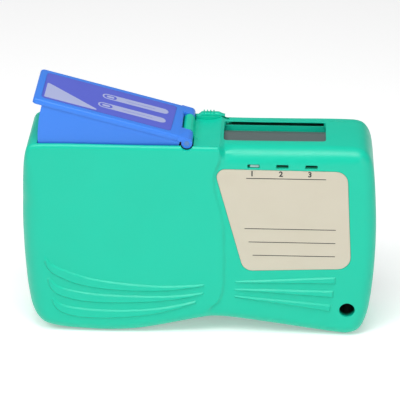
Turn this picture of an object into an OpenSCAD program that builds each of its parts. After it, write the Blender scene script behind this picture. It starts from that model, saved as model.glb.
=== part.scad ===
// Hand-held reel cleaner for fibre optic plugs. It stands on its two lower lobes.
// X runs to the right, Y to the rear and Z up. The origin is under the middle of the housing.

/* [Housing] */
// Width of the housing
body_w = 131; // [124:1:140]
// Height of the housing at the grip
body_h = 78; // [76:1:84]
// Depth of the housing over the grip ribs
body_d = 32; // [31:0.5:36]
// Wall of the front shell and of the rear cover
wall = 2; // [1.6:0.1:2.4]
// Depth of the rear cover
cover_d = 4; // [3.6:0.1:4.4]
// How far the label half stands back from the grip
face_step = 0.9; // [0.5:0.1:1.2]
// Edge radius along the lever and the grip's top
thumb_r = 1.6; // [1:0.1:2.2]
// Edge radius down the left side
side_r = 7.5; // [5:0.5:8]
// Edge radius along the base
base_r = 4.6; // [3.5:0.1:5]
// Edge radius along the top in front of the window
crown_r = 6.4; // [4:0.1:7]
// Edge radius round the rear cover
rear_r = 2; // [1.2:0.1:2.6]

/* [Lever] */
// Place of the lever's hinge pin to the left of the middle
pivot_back = 4.2; // [3:0.1:5]
// Height of the hinge pin over the housing's top
pivot_rise = 0.8; // [0.6:0.1:1.2]
// Length of the lever from its hinge pin to the thumb lip
lever_l = 57.6; // [50:0.2:59]
// Angle that the lever swings through
lever_swing = 15; // [12:0.5:17]
// Thickness of the lever's top plate
lever_plate = 2; // [1.6:0.1:2.4]
// Thickness of the lever's skirts
lever_skirt = 1.6; // [1.2:0.1:2]
// Depth of the skirt at the thumb end
lever_drop = 16.4; // [15:0.2:18]
// Overhang of the thumb lip past the skirt
lip_l = 3.5; // [2:0.1:5]
// Radius of the hinge knuckles
knuckle_r = 2; // [1.8:0.05:2.2]
// Radius of the hinge pin
hinge_pin_r = 0.95; // [0.8:0.05:1.1]

/* [Window and shutter] */
// Length of the window in the top
window_l = 37.4; // [32:0.2:40]
// Place of the window's left edge to the right of the middle
window_x = 8.8; // [8.4:0.1:10]
// Outer radius of the shutter
shutter_r = 12.3; // [11.9:0.1:12.6]
// Thickness of the shutter
shutter_t = 1.2; // [0.8:0.1:1.4]
// Angle that the shutter turns through
shutter_swing = 86; // [80:1:90]
// Width of each wiping slot
slot_w = 2.8; // [2:0.1:3.4]
// Length of each wiping slot
slot_l = 30; // [24:0.5:31]

/* [Tape and reels] */
// Thickness of the cleaning tape
tape_t = 0.25; // [0.15:0.05:0.35]
// Radius of the reel flanges
reel_r = 19; // [16:0.5:19.4]
// Radius of the roll of fresh tape
fresh_r = 16; // [12:0.5:17]
// Radius of the roll of used tape
used_r = 11; // [9:0.5:14]
// Radius of the reel hubs
hub_r = 6; // [5:0.25:7]
// Radius of the fixed spindles
spindle_r = 2; // [1.6:0.1:2.4]
// Radius of the guide rollers
roller_r = 2.5; // [2:0.1:2.8]

/* [Drive] */
// Teeth on the drive gear
gear_teeth = 36; // [34:1:37]
// Module of the gear teeth
gear_module = 1; // [0.9:0.02:1.02]
// Teeth on the ratchet wheel
ratchet_teeth = 24; // [18:1:30]
// Tip radius of the ratchet wheel
ratchet_r = 12; // [10:0.25:13]

/* [Strap hole] */
// Radius of the strap hole
strap_r = 2.9; // [2:0.1:3.2]
// Distance of the strap hole from the right edge
strap_in = 9.9; // [9:0.1:12]
// Height of the strap hole over the base
strap_z = 11.6; // [10:0.1:14]

/* [Fits] */
// Running clearance of a pin or spindle in its bore, on the radius
bore_gap = 0.05; // [0.02:0.01:0.1]
// Gap between pieces that slide past each other
slide_gap = 0.3; // [0.25:0.05:0.4]
// Gap between the layers stacked along the spindles
layer_gap = 0.3; // [0.25:0.05:0.35]
// Play between the teeth of the gear and the toothed arm
tooth_gap = 0.12; // [0.08:0.01:0.2]

/* [Hidden] */
$fn = 48;
corner_fn = 32;
cut_over = 1;
half_turn = 180;
full_turn = 360;
right_angle = 90;

// Outline of the housing seen from the front, in shares of half the width and of the height
outline_shares = [
    [-0.905, 1.000], [-0.947, 0.984], [-0.966, 0.939], [-0.982, 0.846], [-0.995, 0.692],
    [-1.000, 0.538], [-0.994, 0.346], [-0.976, 0.167], [-0.947, 0.085], [-0.895, 0.038],
    [-0.802, 0.014], [-0.656, 0.003], [-0.504, 0.000], [-0.366, 0.008], [-0.229, 0.029],
    [-0.092, 0.056], [0.031, 0.077], [0.153, 0.078], [0.305, 0.063], [0.489, 0.041],
    [0.672, 0.018], [0.794, 0.004], [0.858, 0.001], [0.921, 0.024], [0.957, 0.083],
    [0.980, 0.180], [0.997, 0.359], [1.000, 0.564], [0.989, 0.744], [0.974, 0.872],
    [0.953, 0.936], [0.916, 0.973], [0.855, 0.985], [0.489, 0.985], [0.147, 0.985],
    [0.128, 0.992], [0.110, 1.000], [-0.305, 1.000]
];
// Front edge radius at each of those points
edge_r = [
    thumb_r, thumb_r, (thumb_r + base_r) / 3, base_r, side_r,
    side_r, side_r, side_r, (side_r + base_r) / 2, base_r,
    base_r, base_r, base_r, base_r, base_r,
    base_r, base_r, base_r, base_r, base_r,
    base_r, base_r, base_r, base_r, base_r,
    base_r, base_r, base_r, base_r, base_r,
    base_r, base_r, (base_r + crown_r) / 2, crown_r, crown_r,
    (crown_r + thumb_r) / 2, thumb_r, thumb_r
];
// Share of the face step at each point: 0 on the grip, 1 on the label half
face_shares = [
    0, 0, 0, 0, 0, 0, 0, 0, 0, 0, 0, 0, 0, 0, 0, 0, 0.5, 1, 1, 1,
    1, 1, 1, 1, 1, 1, 1, 1, 1, 1, 1, 1, 1, 1, 1, 0.5, 0, 0
];
// Points at the two ends of the step between grip and label half
step_foot_left = 15;
step_foot_right = 17;
step_head_right = 34;
step_head_left = 36;
outline_steps = 2;
fillet_steps = 5;
crown_share = 0.98;
crown_end_share = 0.88;

// Course of the step across the face, in shares of half the width and of the height
step_shares = [
    [0.100, 0.885], [0.088, 0.845], [0.092, 0.770], [0.118, 0.690], [0.138, 0.600], [0.144, 0.480],
    [0.146, 0.360], [0.142, 0.260], [0.118, 0.190], [0.072, 0.150]
];
step_w = 1.4;

function lerp(a, b, t) = a + (b - a) * t;
function wrap(i, n) = (i + n) % n;
function unit(v) = v / norm(v);
function on_circle(c, r, a) = c + r * [cos(a), sin(a)];
function chord(p, i) = norm(p[wrap(i + 1, len(p))] - p[i]);
function slope(p, i) = (p[wrap(i + 1, len(p))] - p[i]) / chord(p, i);
function tangent(p, i) =
    let (b = wrap(i - 1, len(p)), hb = chord(p, b), hi = chord(p, i))
    (slope(p, b) * hb + slope(p, i) * hi) / (hb + hi);
function hermite(p, i, t) =
    let (j = wrap(i + 1, len(p)), h = chord(p, i), u = t * t, c = u * t)
    p[i] * (2 * c - 3 * u + 1) + tangent(p, i) * h * (c - 2 * u + t)
    + p[j] * (3 * u - 2 * c) + tangent(p, j) * h * (c - u);

outline_knots = [for (s = outline_shares) [s[0] * body_w / 2, s[1] * body_h]];
outline_raw = [for (i = [0:len(outline_knots) - 1]) for (k = [0:outline_steps - 1])
    hermite(outline_knots, i, k / outline_steps)];
outline_low = min([for (p = outline_raw) p[1]]);
outline_left = min([for (p = outline_raw) p[0]]);
outline_right = max([for (p = outline_raw) p[0]]);
outline = [for (p = outline_raw) [
    (p[0] - outline_left) * body_w / (outline_right - outline_left) - body_w / 2,
    p[1] - outline_low
]];
outline_n = len(outline);
function spread(list) = [for (i = [0:len(list) - 1]) for (k = [0:outline_steps - 1])
    lerp(list[i], list[wrap(i + 1, len(list))], k / outline_steps)];
edge_radii = spread(edge_r);
face_places = spread(face_shares);

// Inward direction at a point of the outline. Along the top it points straight down.
function on_crown(p) = p[1] > crown_share * body_h && abs(p[0]) < crown_end_share * body_w / 2;
function inward(i) =
    let (d = unit(outline[wrap(i + 1, outline_n)] - outline[wrap(i - 1, outline_n)]))
    on_crown(outline[i]) ? [0, -1] : [-d[1], d[0]];
inward_dirs = [for (i = [0:outline_n - 1]) inward(i)];
function inset_point(i, inset) = outline[i] + inward_dirs[i] * inset;

// Levels along the depth. The tape takes the width that the layers and the cover leave.
rib_h = 0.5;
grip_y = -body_d / 2 + rib_h;
label_y = grip_y + face_step;
rear_y = body_d / 2;
parting_y = rear_y - cover_d;
face_in_y = label_y + wall;
chassis_t = 1.6;
gear_t = 2.4;
ratchet_t = 2.2;
flange_t = 1.2;
tape_side_gap = 0.4;
frame_t = 1.5;
back_room = 2.2;
chassis_y0 = face_in_y + layer_gap;
chassis_y1 = chassis_y0 + chassis_t;
gear_y0 = chassis_y1 + layer_gap;
gear_y1 = gear_y0 + gear_t;
ratchet_y0 = gear_y1 + layer_gap;
ratchet_y1 = ratchet_y0 + ratchet_t;
flange_y0 = ratchet_y1 + layer_gap;
flange_y1 = flange_y0 + flange_t;
tape_y0 = flange_y1 + tape_side_gap;
frame_y1 = rear_y - wall - back_room;
frame_y0 = frame_y1 - frame_t;
rear_flange_y1 = frame_y0 - layer_gap;
rear_flange_y0 = rear_flange_y1 - flange_t;
tape_y1 = rear_flange_y0 - tape_side_gap;
tape_w = tape_y1 - tape_y0;
tape_c = (tape_y0 + tape_y1) / 2;

// Extrudes a shape drawn in X and Z from y0 to y1
module slab(y0, y1) {
    translate([0, y1, 0]) rotate([right_angle, 0, 0]) linear_extrude(y1 - y0) children();
}
// Round bar along Y
module bar_y(x, z, r, y0, y1) {
    translate([x, y1, z]) rotate([right_angle, 0, 0]) cylinder(r = r, h = y1 - y0);
}
// Round bar along X
module bar_x(y, z, r, x0, x1) {
    translate([x0, y, z]) rotate([0, right_angle, 0]) cylinder(r = r, h = x1 - x0);
}
// Box between two corners
module block(a, b) {
    translate(a) cube(b - a);
}

// Rings of the moulded cup: each ring is an inset and a depth at every point of the outline
function face_y(i, back) = grip_y + face_places[i] * face_step + back;
function fillet_ring(shrink, back, a) = [for (i = [0:outline_n - 1])
    let (r = max(edge_radii[i] - shrink, thumb_r / 2), p = inset_point(i, shrink + r * (1 - cos(a))))
    [p[0], face_y(i, back) + r * (1 - sin(a)), p[1]]];
function rim_ring(shrink, y) = [for (i = [0:outline_n - 1])
    let (p = inset_point(i, shrink)) [p[0], y, p[1]]];
function cup_rings(shrink, back, rim_y) = concat([rim_ring(shrink, rim_y)],
    [for (k = [0:fillet_steps]) fillet_ring(shrink, back, right_angle * k / fillet_steps)]);
// Quads between two rings that follow each other in a list of points
function band(first, n, flip) = [for (i = [0:n - 1])
    let (a = first + i, b = first + wrap(i + 1, n), c = b + n, d = a + n)
    flip ? [a, d, c, b] : [a, b, c, d]];

// Rails of the step across the face, from its head to its foot
rail_n = (step_head_left - step_head_right) * outline_steps + 1;
rail_m = len(step_shares);
function rail_point(k, m, back) =
    let (s = step_shares[m], t = k / (rail_n - 1), u = (1 - t) * (1 - t) * (1 + 2 * t))
    [s[0] * body_w / 2 + (1 / 2 - t) * step_w, grip_y + face_step * u + back, s[1] * body_h];
function rails(back) = [for (k = [0:rail_n - 1]) for (m = [0:rail_m - 1]) rail_point(k, m, back)];
// Triangles from one point to every side of a closed run of points
function fan(c, loop) = [for (i = [0:len(loop) - 1]) [c, loop[i], loop[wrap(i + 1, len(loop))]]];
half_share = 0.49;
function face_centres(back) = [
    [body_w * half_share / 2, grip_y + face_step + back, body_h / 2],
    [-body_w * half_share / 2, grip_y + back, body_h / 2]
];
// Faces of the front: the label half, the grip and the strips of the step between them
function front_faces(ring, rail) = let (
        head = step_head_right * outline_steps, foot = step_foot_right * outline_steps,
        head_l = step_head_left * outline_steps, foot_l = step_foot_left * outline_steps,
        centre = rail + rail_n * rail_m)
    concat(
        fan(centre, concat([for (i = [foot:head]) ring + i], [for (m = [0:rail_m - 1]) rail + m])),
        fan(centre + 1, concat([for (i = [head_l:outline_n + foot_l]) ring + i % outline_n],
            [for (m = [0:rail_m - 1]) rail + rail_n * rail_m - 1 - m])),
        [for (k = [0:rail_n - 2])
            [ring + head + k + 1, rail + (k + 1) * rail_m, rail + k * rail_m, ring + head + k]],
        [for (k = [0:rail_n - 2]) for (m = [0:rail_m - 2])
            let (a = rail + k * rail_m + m, b = a + rail_m) [a, b, b + 1, a + 1]],
        [for (k = [0:rail_n - 2])
            let (a = rail + (k + 1) * rail_m - 1, b = a + rail_m)
            [a, b, ring + foot - k - 1, ring + foot - k]]);
function reversed(list) = [for (i = [len(list) - 1:-1:0]) list[i]];
function turned(faces) = [for (f = faces) reversed(f)];

// One closed cup: outside from rim to face, inside from rim to face, and the rim between them
module moulded_cup() {
    outside = cup_rings(0, 0, parting_y);
    inside = cup_rings(wall, wall, parting_y);
    rings = len(outside);
    ring_points = [for (r = concat(outside, inside)) each r];
    points = concat(ring_points, rails(0), face_centres(0), rails(wall), face_centres(wall));
    rail_a = len(ring_points);
    rail_b = rail_a + rail_n * rail_m + len(face_centres(0));
    in_start = rings * outline_n;
    faces = concat(
        [for (r = [0:rings - 2]) each band(r * outline_n, outline_n, false)],
        [for (r = [0:rings - 2]) each band(in_start + r * outline_n, outline_n, true)],
        front_faces(in_start - outline_n, rail_a),
        turned(front_faces(2 * in_start - outline_n, rail_b)),
        [for (i = [0:outline_n - 1])
            let (j = wrap(i + 1, outline_n)) [j, i, in_start + i, in_start + j]]);
    polyhedron(points = points, faces = turned(faces), convexity = 6);
}

// Grip ribs: low ridges with a soft upper flank, each swept along a few points of the face
rib_w = 2.6;
rib_sink = 0.4;
rib_left_shares = [
    [[-0.868, 0.408], [-0.845, 0.365], [-0.800, 0.335], [-0.690, 0.296], [-0.570, 0.272], [-0.440, 0.260],
        [-0.310, 0.254], [-0.180, 0.255], [-0.070, 0.264], [0.035, 0.277]],
    [[-0.855, 0.300], [-0.830, 0.256], [-0.780, 0.227], [-0.675, 0.204], [-0.560, 0.194], [-0.440, 0.192],
        [-0.310, 0.194], [-0.180, 0.201], [-0.070, 0.214], [0.030, 0.232]],
    [[-0.835, 0.190], [-0.805, 0.150], [-0.750, 0.126], [-0.660, 0.113], [-0.560, 0.109], [-0.440, 0.111],
        [-0.330, 0.119], [-0.220, 0.134], [-0.110, 0.158], [-0.010, 0.186]]
];
rib_right_shares = [
    [[0.215, 0.293], [0.400, 0.294], [0.600, 0.298], [0.775, 0.303]],
    [[0.208, 0.245], [0.400, 0.241], [0.600, 0.233], [0.765, 0.226]],
    [[0.202, 0.203], [0.400, 0.189], [0.600, 0.170], [0.757, 0.153]]
];
rib_taper_shares = [0.15, 0.7, 1];
rib_crest_share = 0.3;
rib_shoulder_share = 0.1;
rib_shoulder_h_share = 0.68;
function rib_scale(i, n) = rib_taper_shares[min(i, n - 1 - i, len(rib_taper_shares) - 1)];
module grip_rib(shares, y) {
    n = len(shares);
    line = [for (s = shares) [s[0] * body_w / 2, s[1] * body_h]];
    dirs = [for (i = [0:n - 1]) unit(line[min(i + 1, n - 1)] - line[max(i - 1, 0)])];
    section = [[-1 / 2, -rib_sink], [-1 / 2, 0], [-rib_crest_share, rib_h],
        [rib_shoulder_share, rib_h * rib_shoulder_h_share], [1 / 2, 0], [1 / 2, -rib_sink]];
    m = len(section);
    points = [for (i = [0:n - 1]) for (s = section)
        let (k = rib_scale(i, n), p = line[i] + [-dirs[i][1], dirs[i][0]] * s[0] * rib_w * lerp(1 / 2, 1, k))
        [p[0], y - (s[1] > 0 ? s[1] * k : s[1]), p[1]]];
    faces = concat(
        [[for (j = [0:m - 1]) m - 1 - j]],
        [[for (j = [0:m - 1]) (n - 1) * m + j]],
        [for (i = [0:n - 2]) for (j = [0:m - 1])
            let (a = i * m + j, b = i * m + (j + 1) % m) [a, b, b + m, a + m]]);
    polyhedron(points = points, faces = faces, convexity = 4);
}

// Lever hinge and the bay that the lever sinks into
pivot_x = -pivot_back;
pivot_z = body_h + pivot_rise;
bay_wall = 1.3;
lever_y0 = grip_y + bay_wall + slide_gap;
lever_y1 = rear_y - wall - slide_gap / 3;
skirt_r = lever_l - lip_l;
bay_x0 = pivot_x - skirt_r - slide_gap;
bay_x1 = pivot_x + knuckle_r + slide_gap;
bay_y0 = lever_y0 - slide_gap;
bay_y1 = lever_y1 + slide_gap;
bay_floor_z = pivot_z - lever_drop - cut_over;
housing_knuckle_y0 = -5.4;
housing_knuckle_y1 = 8;
web_drop = 3;
module lever_bay() {
    block([bay_x0, bay_y0, bay_floor_z], [bay_x1, bay_y1, pivot_z + knuckle_r]);
}
module hinge_notch() {
    bar_y(pivot_x, pivot_z, knuckle_r + slide_gap, grip_y - cut_over, bay_y0 + cut_over);
}
module housing_knuckle() {
    bar_y(pivot_x, pivot_z, knuckle_r, housing_knuckle_y0, housing_knuckle_y1);
    block([pivot_x - knuckle_r, housing_knuckle_y0, body_h - web_drop],
        [bay_x1 + wall, housing_knuckle_y1, pivot_z]);
}
module hinge_bore(y0, y1) {
    bar_y(pivot_x, pivot_z, hinge_pin_r + bore_gap, y0, y1);
}

// Window, its well and the shutter's axis
top_z = body_h * outline_shares[step_head_right][1] - outline_low;
window_x1 = window_x + window_l;
window_back = 1.2;
window_y1 = parting_y - window_back;
window_w = 2 * (window_y1 - tape_c);
window_y0 = tape_c - window_w / 2;
window_corner_r = 1.5;
lip_t = 0.5;
groove_h = 1.3;
groove_d = 0.9;
well_drop = 3.4;
shutter_depth = 1.2;
shutter_z = top_z - shutter_r - shutter_depth;
shutter_edge_gap = 0.5;
shutter_half = asin((window_w / 2 - shutter_edge_gap) / shutter_r);
module rounded_rect(a, b, r) {
    hull() {
        for (x = [a[0] + r, b[0] - r]) for (y = [a[1] + r, b[1] - r])
            translate([x, y]) circle(r = r, $fn = corner_fn);
    }
}
module window_cut() {
    translate([0, 0, top_z - wall - well_drop]) linear_extrude(wall + well_drop + cut_over)
        rounded_rect([window_x, window_y0], [window_x1, window_y1], window_corner_r);
    block([window_x, window_y1 - cut_over, top_z - lip_t - groove_h],
        [window_x1, window_y1 + groove_d, top_z - lip_t]);
}
// Pockets under the top wall for the two ends of the shutter
relief_z = shutter_z + shutter_r + slide_gap;
relief_w = 2 * sqrt(pow(relief_z - shutter_z, 2) - pow(top_z - wall - shutter_z, 2));
module shutter_relief() {
    for (x = [[drum_x0 - slide_gap, window_x + cut_over], [window_x1 - cut_over, drum_x1 + slide_gap]])
        block([x[0], tape_c - relief_w / 2, top_z - wall - cut_over],
            [x[1], tape_c + relief_w / 2, relief_z]);
}
module window_well() {
    block([window_x - wall / 2, window_y1, top_z - wall - well_drop],
        [window_x1 + wall / 2, parting_y, top_z - wall / 2]);
}

// Indicator slots above the label
indicator_z = 70.4;
indicator_w = 4.4;
indicator_h = 1.2;
indicator_pitch = 10.5;
indicator_x = 17.8;
module indicator_slots() {
    for (i = [0:2])
        block([indicator_x + i * indicator_pitch, label_y - cut_over, indicator_z - indicator_h / 2],
            [indicator_x + i * indicator_pitch + indicator_w, face_in_y + cut_over, indicator_z + indicator_h / 2]);
}

// Face label: a slanted plate with rounded corners, let into the label half
label_t = 0.3;
label_corner_r = 2;
label_shares = [[0.100, 0.877], [0.815, 0.883], [0.865, 0.372], [0.255, 0.360]];
function label_corner(i) = [label_shares[i][0] * body_w / 2, label_shares[i][1] * body_h];
label_middle = (label_corner(0) + label_corner(1) + label_corner(2) + label_corner(3)) / 4;
module label_shape(gap) {
    hull() for (i = [0:3])
        translate(label_corner(i) + unit(label_middle - label_corner(i)) * (label_corner_r + gap) * sqrt(2))
            circle(r = label_corner_r, $fn = corner_fn);
}

// Strap hole and the tube moulded round it
strap_x = body_w / 2 - strap_in;
strap_wall = 1.4;

// Screws that hold the chassis against bosses of the front shell
screw_r = 1.2;
screw_head_r = 2.2;
screw_head_h = 1.4;
screw_bite = 1.4;
boss_r = 3;
screw_shares = [[-0.794, 0.180], [-0.030, 0.215], [0.832, 0.430], [0.125, 0.700]];
function screw_x(i) = screw_shares[i][0] * body_w / 2;
function screw_z(i) = screw_shares[i][1] * body_h;

module moulded_form() {
    difference() {
        union() {
            difference() {
                moulded_cup();
                lever_bay();
            }
            for (s = rib_left_shares) grip_rib(s, grip_y);
            for (s = rib_right_shares) grip_rib(s, label_y);
            window_well();
        }
        window_cut();
        shutter_relief();
        indicator_slots();
        slab(label_y - cut_over, label_y + label_t) label_shape(0);
    }
}
module front_shell() {
    color("#33d1b0") difference() {
        union() {
            moulded_form();
            housing_knuckle();
            bar_y(strap_x, strap_z, strap_r + strap_wall, label_y + wall / 2, parting_y);
            for (i = [0:len(screw_shares) - 1])
                bar_y(screw_x(i), screw_z(i), boss_r, label_y + wall / 2, chassis_y0);
        }
        hinge_notch();
        hinge_bore(housing_knuckle_y0 - cut_over, housing_knuckle_y1 + cut_over);
        bar_y(strap_x, strap_z, strap_r, label_y - cut_over, parting_y + cut_over);
        for (i = [0:len(screw_shares) - 1])
            bar_y(screw_x(i), screw_z(i), screw_r + bore_gap, chassis_y0 - screw_bite, chassis_y0 + cut_over);
    }
}

label_gap = 0.1;
module face_label() {
    color("#dedac8") slab(label_y, label_y + label_t) label_shape(label_gap);
}

// Rear cover: a shallow tray with a locating rim that slips into the front shell
cover_gap = 0.2;
rim_gap = 0.2;
rim_t = 0.8;
rim_l = 1.4;
cover_y0 = parting_y + cover_gap;
cover_steps = 4;
function cover_ring(shrink, back, a) = [for (i = [0:outline_n - 1])
    let (r = max(rear_r - shrink, rear_r / 20), p = inset_point(i, shrink + r * (1 - cos(a))))
    [p[0], rear_y - back - r * (1 - sin(a)), p[1]]];
function cover_edge(shrink, back) = [for (k = [0:cover_steps])
    cover_ring(shrink, back, right_angle * k / cover_steps)];
module cover_tray() {
    rim_in = wall + rim_gap + rim_t;
    rings = concat(
        reversed(cover_edge(0, 0)),
        [rim_ring(0, cover_y0), rim_ring(wall + rim_gap, cover_y0), rim_ring(wall + rim_gap, parting_y - rim_l),
            rim_ring(rim_in, parting_y - rim_l)],
        cover_edge(rim_in, wall));
    last = (len(rings) - 1) * outline_n;
    middle = len(rings) * outline_n;
    faces = concat(
        [for (r = [0:len(rings) - 2]) each band(r * outline_n, outline_n, true)],
        fan(middle, [for (i = [0:outline_n - 1]) i]),
        fan(middle + 1, [for (i = [0:outline_n - 1]) last + outline_n - 1 - i]));
    points = concat([for (r = rings) each r], [[0, rear_y, body_h / 2], [0, rear_y - wall, body_h / 2]]);
    polyhedron(points = points, faces = faces, convexity = 6);
}

// Cover latch: a ridged slider in the cover's top edge
latch_x0 = -1;
latch_l = 9.8;
latch_travel = 2.5;
latch_h = 1.1;
latch_slope = 1.6;
latch_neck_w = 1.6;
latch_foot_t = 1;
ridge_h = 0.6;
ridge_w = 0.7;
ridge_pitch = 1.7;
ridge_n = 3;
latch_inset = 0.4;
latch_y0 = cover_y0 + latch_inset;
latch_y1 = rear_y - rear_r / 2;
latch_c = (latch_y0 + latch_y1) / 2;
latch_slot_in = 0.8;
latch_slot_x0 = latch_x0 + latch_slot_in;
latch_slot_l = 8;
latch_under_z = body_h + slide_gap / 3;
latch_neck_bottom = body_h - wall - 2 * slide_gap - latch_foot_t;
module latch_slot() {
    block([latch_slot_x0, latch_c - latch_neck_w / 2 - slide_gap, latch_neck_bottom - slide_gap],
        [latch_slot_x0 + latch_slot_l + latch_travel, latch_c + latch_neck_w / 2 + slide_gap, body_h + cut_over]);
    block([latch_slot_x0 - cut_over, parting_y - rim_l - cut_over, latch_neck_bottom - slide_gap],
        [latch_slot_x0 + latch_slot_l + latch_travel + cut_over, rear_y - wall, body_h - wall]);
}
module cover_latch() {
    color("#2fc8a6") {
        slab(latch_y0, latch_y1) polygon([
            [latch_x0, latch_under_z], [latch_x0 + latch_l, latch_under_z],
            [latch_x0 + latch_l - latch_slope, latch_under_z + latch_h],
            [latch_x0 + latch_slope / 2, latch_under_z + latch_h]]);
        for (i = [0:ridge_n - 1])
            translate([latch_x0 + latch_l / 2 + (i - (ridge_n - 1) / 2) * ridge_pitch, 0, latch_under_z + latch_h])
                slab(latch_y0, latch_y1)
                    polygon([[-ridge_w / 2, -ridge_h / 2], [ridge_w / 2, -ridge_h / 2], [ridge_w / 5, ridge_h],
                        [-ridge_w / 5, ridge_h]]);
        block([latch_slot_x0 + slide_gap, latch_c - latch_neck_w / 2, latch_neck_bottom],
            [latch_slot_x0 + latch_slot_l - slide_gap, latch_c + latch_neck_w / 2, latch_under_z + latch_h / 2]);
    }
}
module rear_cover() {
    color("#2fc4a4") difference() {
        cover_tray();
        lever_bay();
        latch_slot();
        block([window_x - wall / 2 - slide_gap, parting_y - rim_l - cut_over, top_z - wall - well_drop],
            [window_x1 + wall / 2 + slide_gap, parting_y + cover_gap / 2, top_z - wall]);
        bar_y(strap_x, strap_z, strap_r, cover_y0 - cut_over, rear_y + cut_over);
    }
}

// Chassis: the plate behind the face that carries spindles, guides and spring seats
chassis_shares = [
    [-0.046, 0.846], [-0.046, 0.762], [-0.860, 0.762], [-0.890, 0.500], [-0.870, 0.220], [-0.830, 0.135],
    [-0.700, 0.105], [-0.450, 0.105], [-0.150, 0.150], [0.100, 0.185], [0.350, 0.160], [0.620, 0.120],
    [0.720, 0.120], [0.740, 0.250], [0.880, 0.280], [0.900, 0.500], [0.885, 0.800], [0.860, 0.846]
];
chassis_top_z = chassis_shares[0][1] * body_h;
takeup_back = 23.8;
takeup_x = pivot_x - takeup_back;
takeup_z = 28.7;
supply_x = 33;
supply_z = 26;
spring_x = -40;
spring_seat_z = 56;
spring_r = 3.4;
spring_wire = 0.6;
spring_post_h = 4;
seat_t = 1.5;
seat_w = 11;
seat_y1 = tape_c + seat_w / 2;

// Shutter crank, slider and their guides
arm_t = 1.2;
drum_x0 = window_x - slide_gap - arm_t;
drum_x1 = window_x1 + slide_gap + arm_t;
slider_t = 1.2;
slider_x1 = drum_x0 - slide_gap;
slider_x0 = slider_x1 - slider_t;
bearing_t = 1.5;
bearing_x1 = slider_x0 - slide_gap;
bearing_x0 = bearing_x1 - bearing_t;
far_bearing_x0 = drum_x1 + slide_gap;
far_bearing_x1 = far_bearing_x0 + bearing_t;
axle_r = 1.5;
bearing_r = 2.4;
crank_r = 4;
crank_pin_r = 0.8;
crank_play = 0.15;
slider_travel = 2 * crank_r * sin(shutter_swing / 2);
push_l = slider_travel / (lever_swing * PI / half_turn);
push_x = pivot_x - push_l;
push_r = 1.5;
push_gap = 0.1;
slider_edge = 1.5;
slider_y0 = tape_c - crank_r - crank_pin_r - slider_edge;
slider_y1 = tape_c - axle_r - slide_gap;
push_top_z = pivot_z + slider_travel / 2 - push_r - push_gap;
slider_bar_z = shutter_z + bearing_r + slider_travel + slide_gap;
slider_bar_h = 2.6;
slider_foot_drop = 2.4;
slider_foot_z = shutter_z - slider_foot_drop;
guide_rib_w = 2.6;
guide_x1 = bearing_x0 - slide_gap;
guide_x0 = guide_x1 - guide_rib_w;
lug_t = 1.7;
lug_x1 = guide_x0 - slide_gap;
lug_x0 = lug_x1 - lug_t;
lug_drop = 5;
lug_z0 = shutter_z - slider_travel - lug_drop;
lug_z1 = shutter_z + bearing_r;
small_spring_r = 1.1;
small_spring_wire = 0.4;

// Guide rollers under the two ends of the pad, outside the path of the tape
pad_in = 1.4;
pad_x0 = window_x + pad_in;
pad_x1 = window_x1 - pad_in;
tape_gap = 0.1;
roller_z = shutter_z - shutter_r - roller_r;
left_roller_x = pad_x0 - tape_gap - tape_t - tape_gap - roller_r;
right_roller_x = pad_x1 - roller_r;
roller_pin_r = 1;

// Ratchet pawl
pawl_pivot_l = 21;
pawl_pivot_a = 125;
pawl_x = takeup_x + pawl_pivot_l * cos(pawl_pivot_a);
pawl_z = takeup_z + pawl_pivot_l * sin(pawl_pivot_a);
pawl_pin_r = 1;
pawl_hub_r = 2.2;
pawl_tip_a = 84;
pawl_tip_w = 0.8;
pawl_arm_w = 2.4;
pawl_gap = 0.15;

module chassis_outline() {
    polygon([for (s = chassis_shares) [s[0] * body_w / 2, s[1] * body_h]]);
}
module shutter_bearing(x0, x1) {
    difference() {
        union() {
            block([x0, chassis_y1 - cut_over, shutter_z - bearing_r], [x1, tape_c, shutter_z + bearing_r]);
            bar_x(tape_c, shutter_z, bearing_r, x0, x1);
        }
        bar_x(tape_c, shutter_z, axle_r + bore_gap, x0 - cut_over, x1 + cut_over);
    }
}
module chassis() {
    color("#3a3f44") difference() {
        union() {
            slab(chassis_y0, chassis_y1) chassis_outline();
            shutter_bearing(bearing_x0, bearing_x1);
            shutter_bearing(far_bearing_x0, far_bearing_x1);
            block([lug_x0, chassis_y1 - cut_over, lug_z0], [lug_x1, slider_y1, lug_z1]);
            block([lug_x0, chassis_y1 - cut_over, lug_z0 - seat_t], [bearing_x0, slider_y1, lug_z0]);
            block([spring_x - seat_w / 2, chassis_y1 - cut_over, spring_seat_z - seat_t],
                [spring_x + seat_w / 2, seat_y1, spring_seat_z]);
            translate([spring_x, tape_c, spring_seat_z - seat_t / 2])
                cylinder(r = spring_r - spring_wire - slide_gap, h = spring_post_h);
        }
        for (i = [0:len(screw_shares) - 1])
            bar_y(screw_x(i), screw_z(i), screw_r + bore_gap, chassis_y0 - cut_over, chassis_y1 + cut_over);
        bar_y(takeup_x, takeup_z, spindle_r, chassis_y0 - cut_over, chassis_y1 + cut_over);
        bar_y(supply_x, supply_z, spindle_r, chassis_y0 - cut_over, chassis_y1 + cut_over);
        bar_y(pawl_x, pawl_z, pawl_pin_r, chassis_y0 - cut_over, chassis_y1 + cut_over);
        tab_tongue(tab_gap);
    }
}
module chassis_screws() {
    color("#b9bdc1") for (i = [0:len(screw_shares) - 1]) {
        bar_y(screw_x(i), screw_z(i), screw_r, chassis_y0 - screw_bite + bore_gap, chassis_y1 + screw_head_h / 2);
        bar_y(screw_x(i), screw_z(i), screw_head_r, chassis_y1, chassis_y1 + screw_head_h);
    }
}
module takeup_spindle() {
    color("#c4c8cc") bar_y(takeup_x, takeup_z, spindle_r, chassis_y0, frame_y1);
}
module supply_spindle() {
    color("#c4c8cc") bar_y(supply_x, supply_z, spindle_r, chassis_y0, frame_y1);
}

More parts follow.
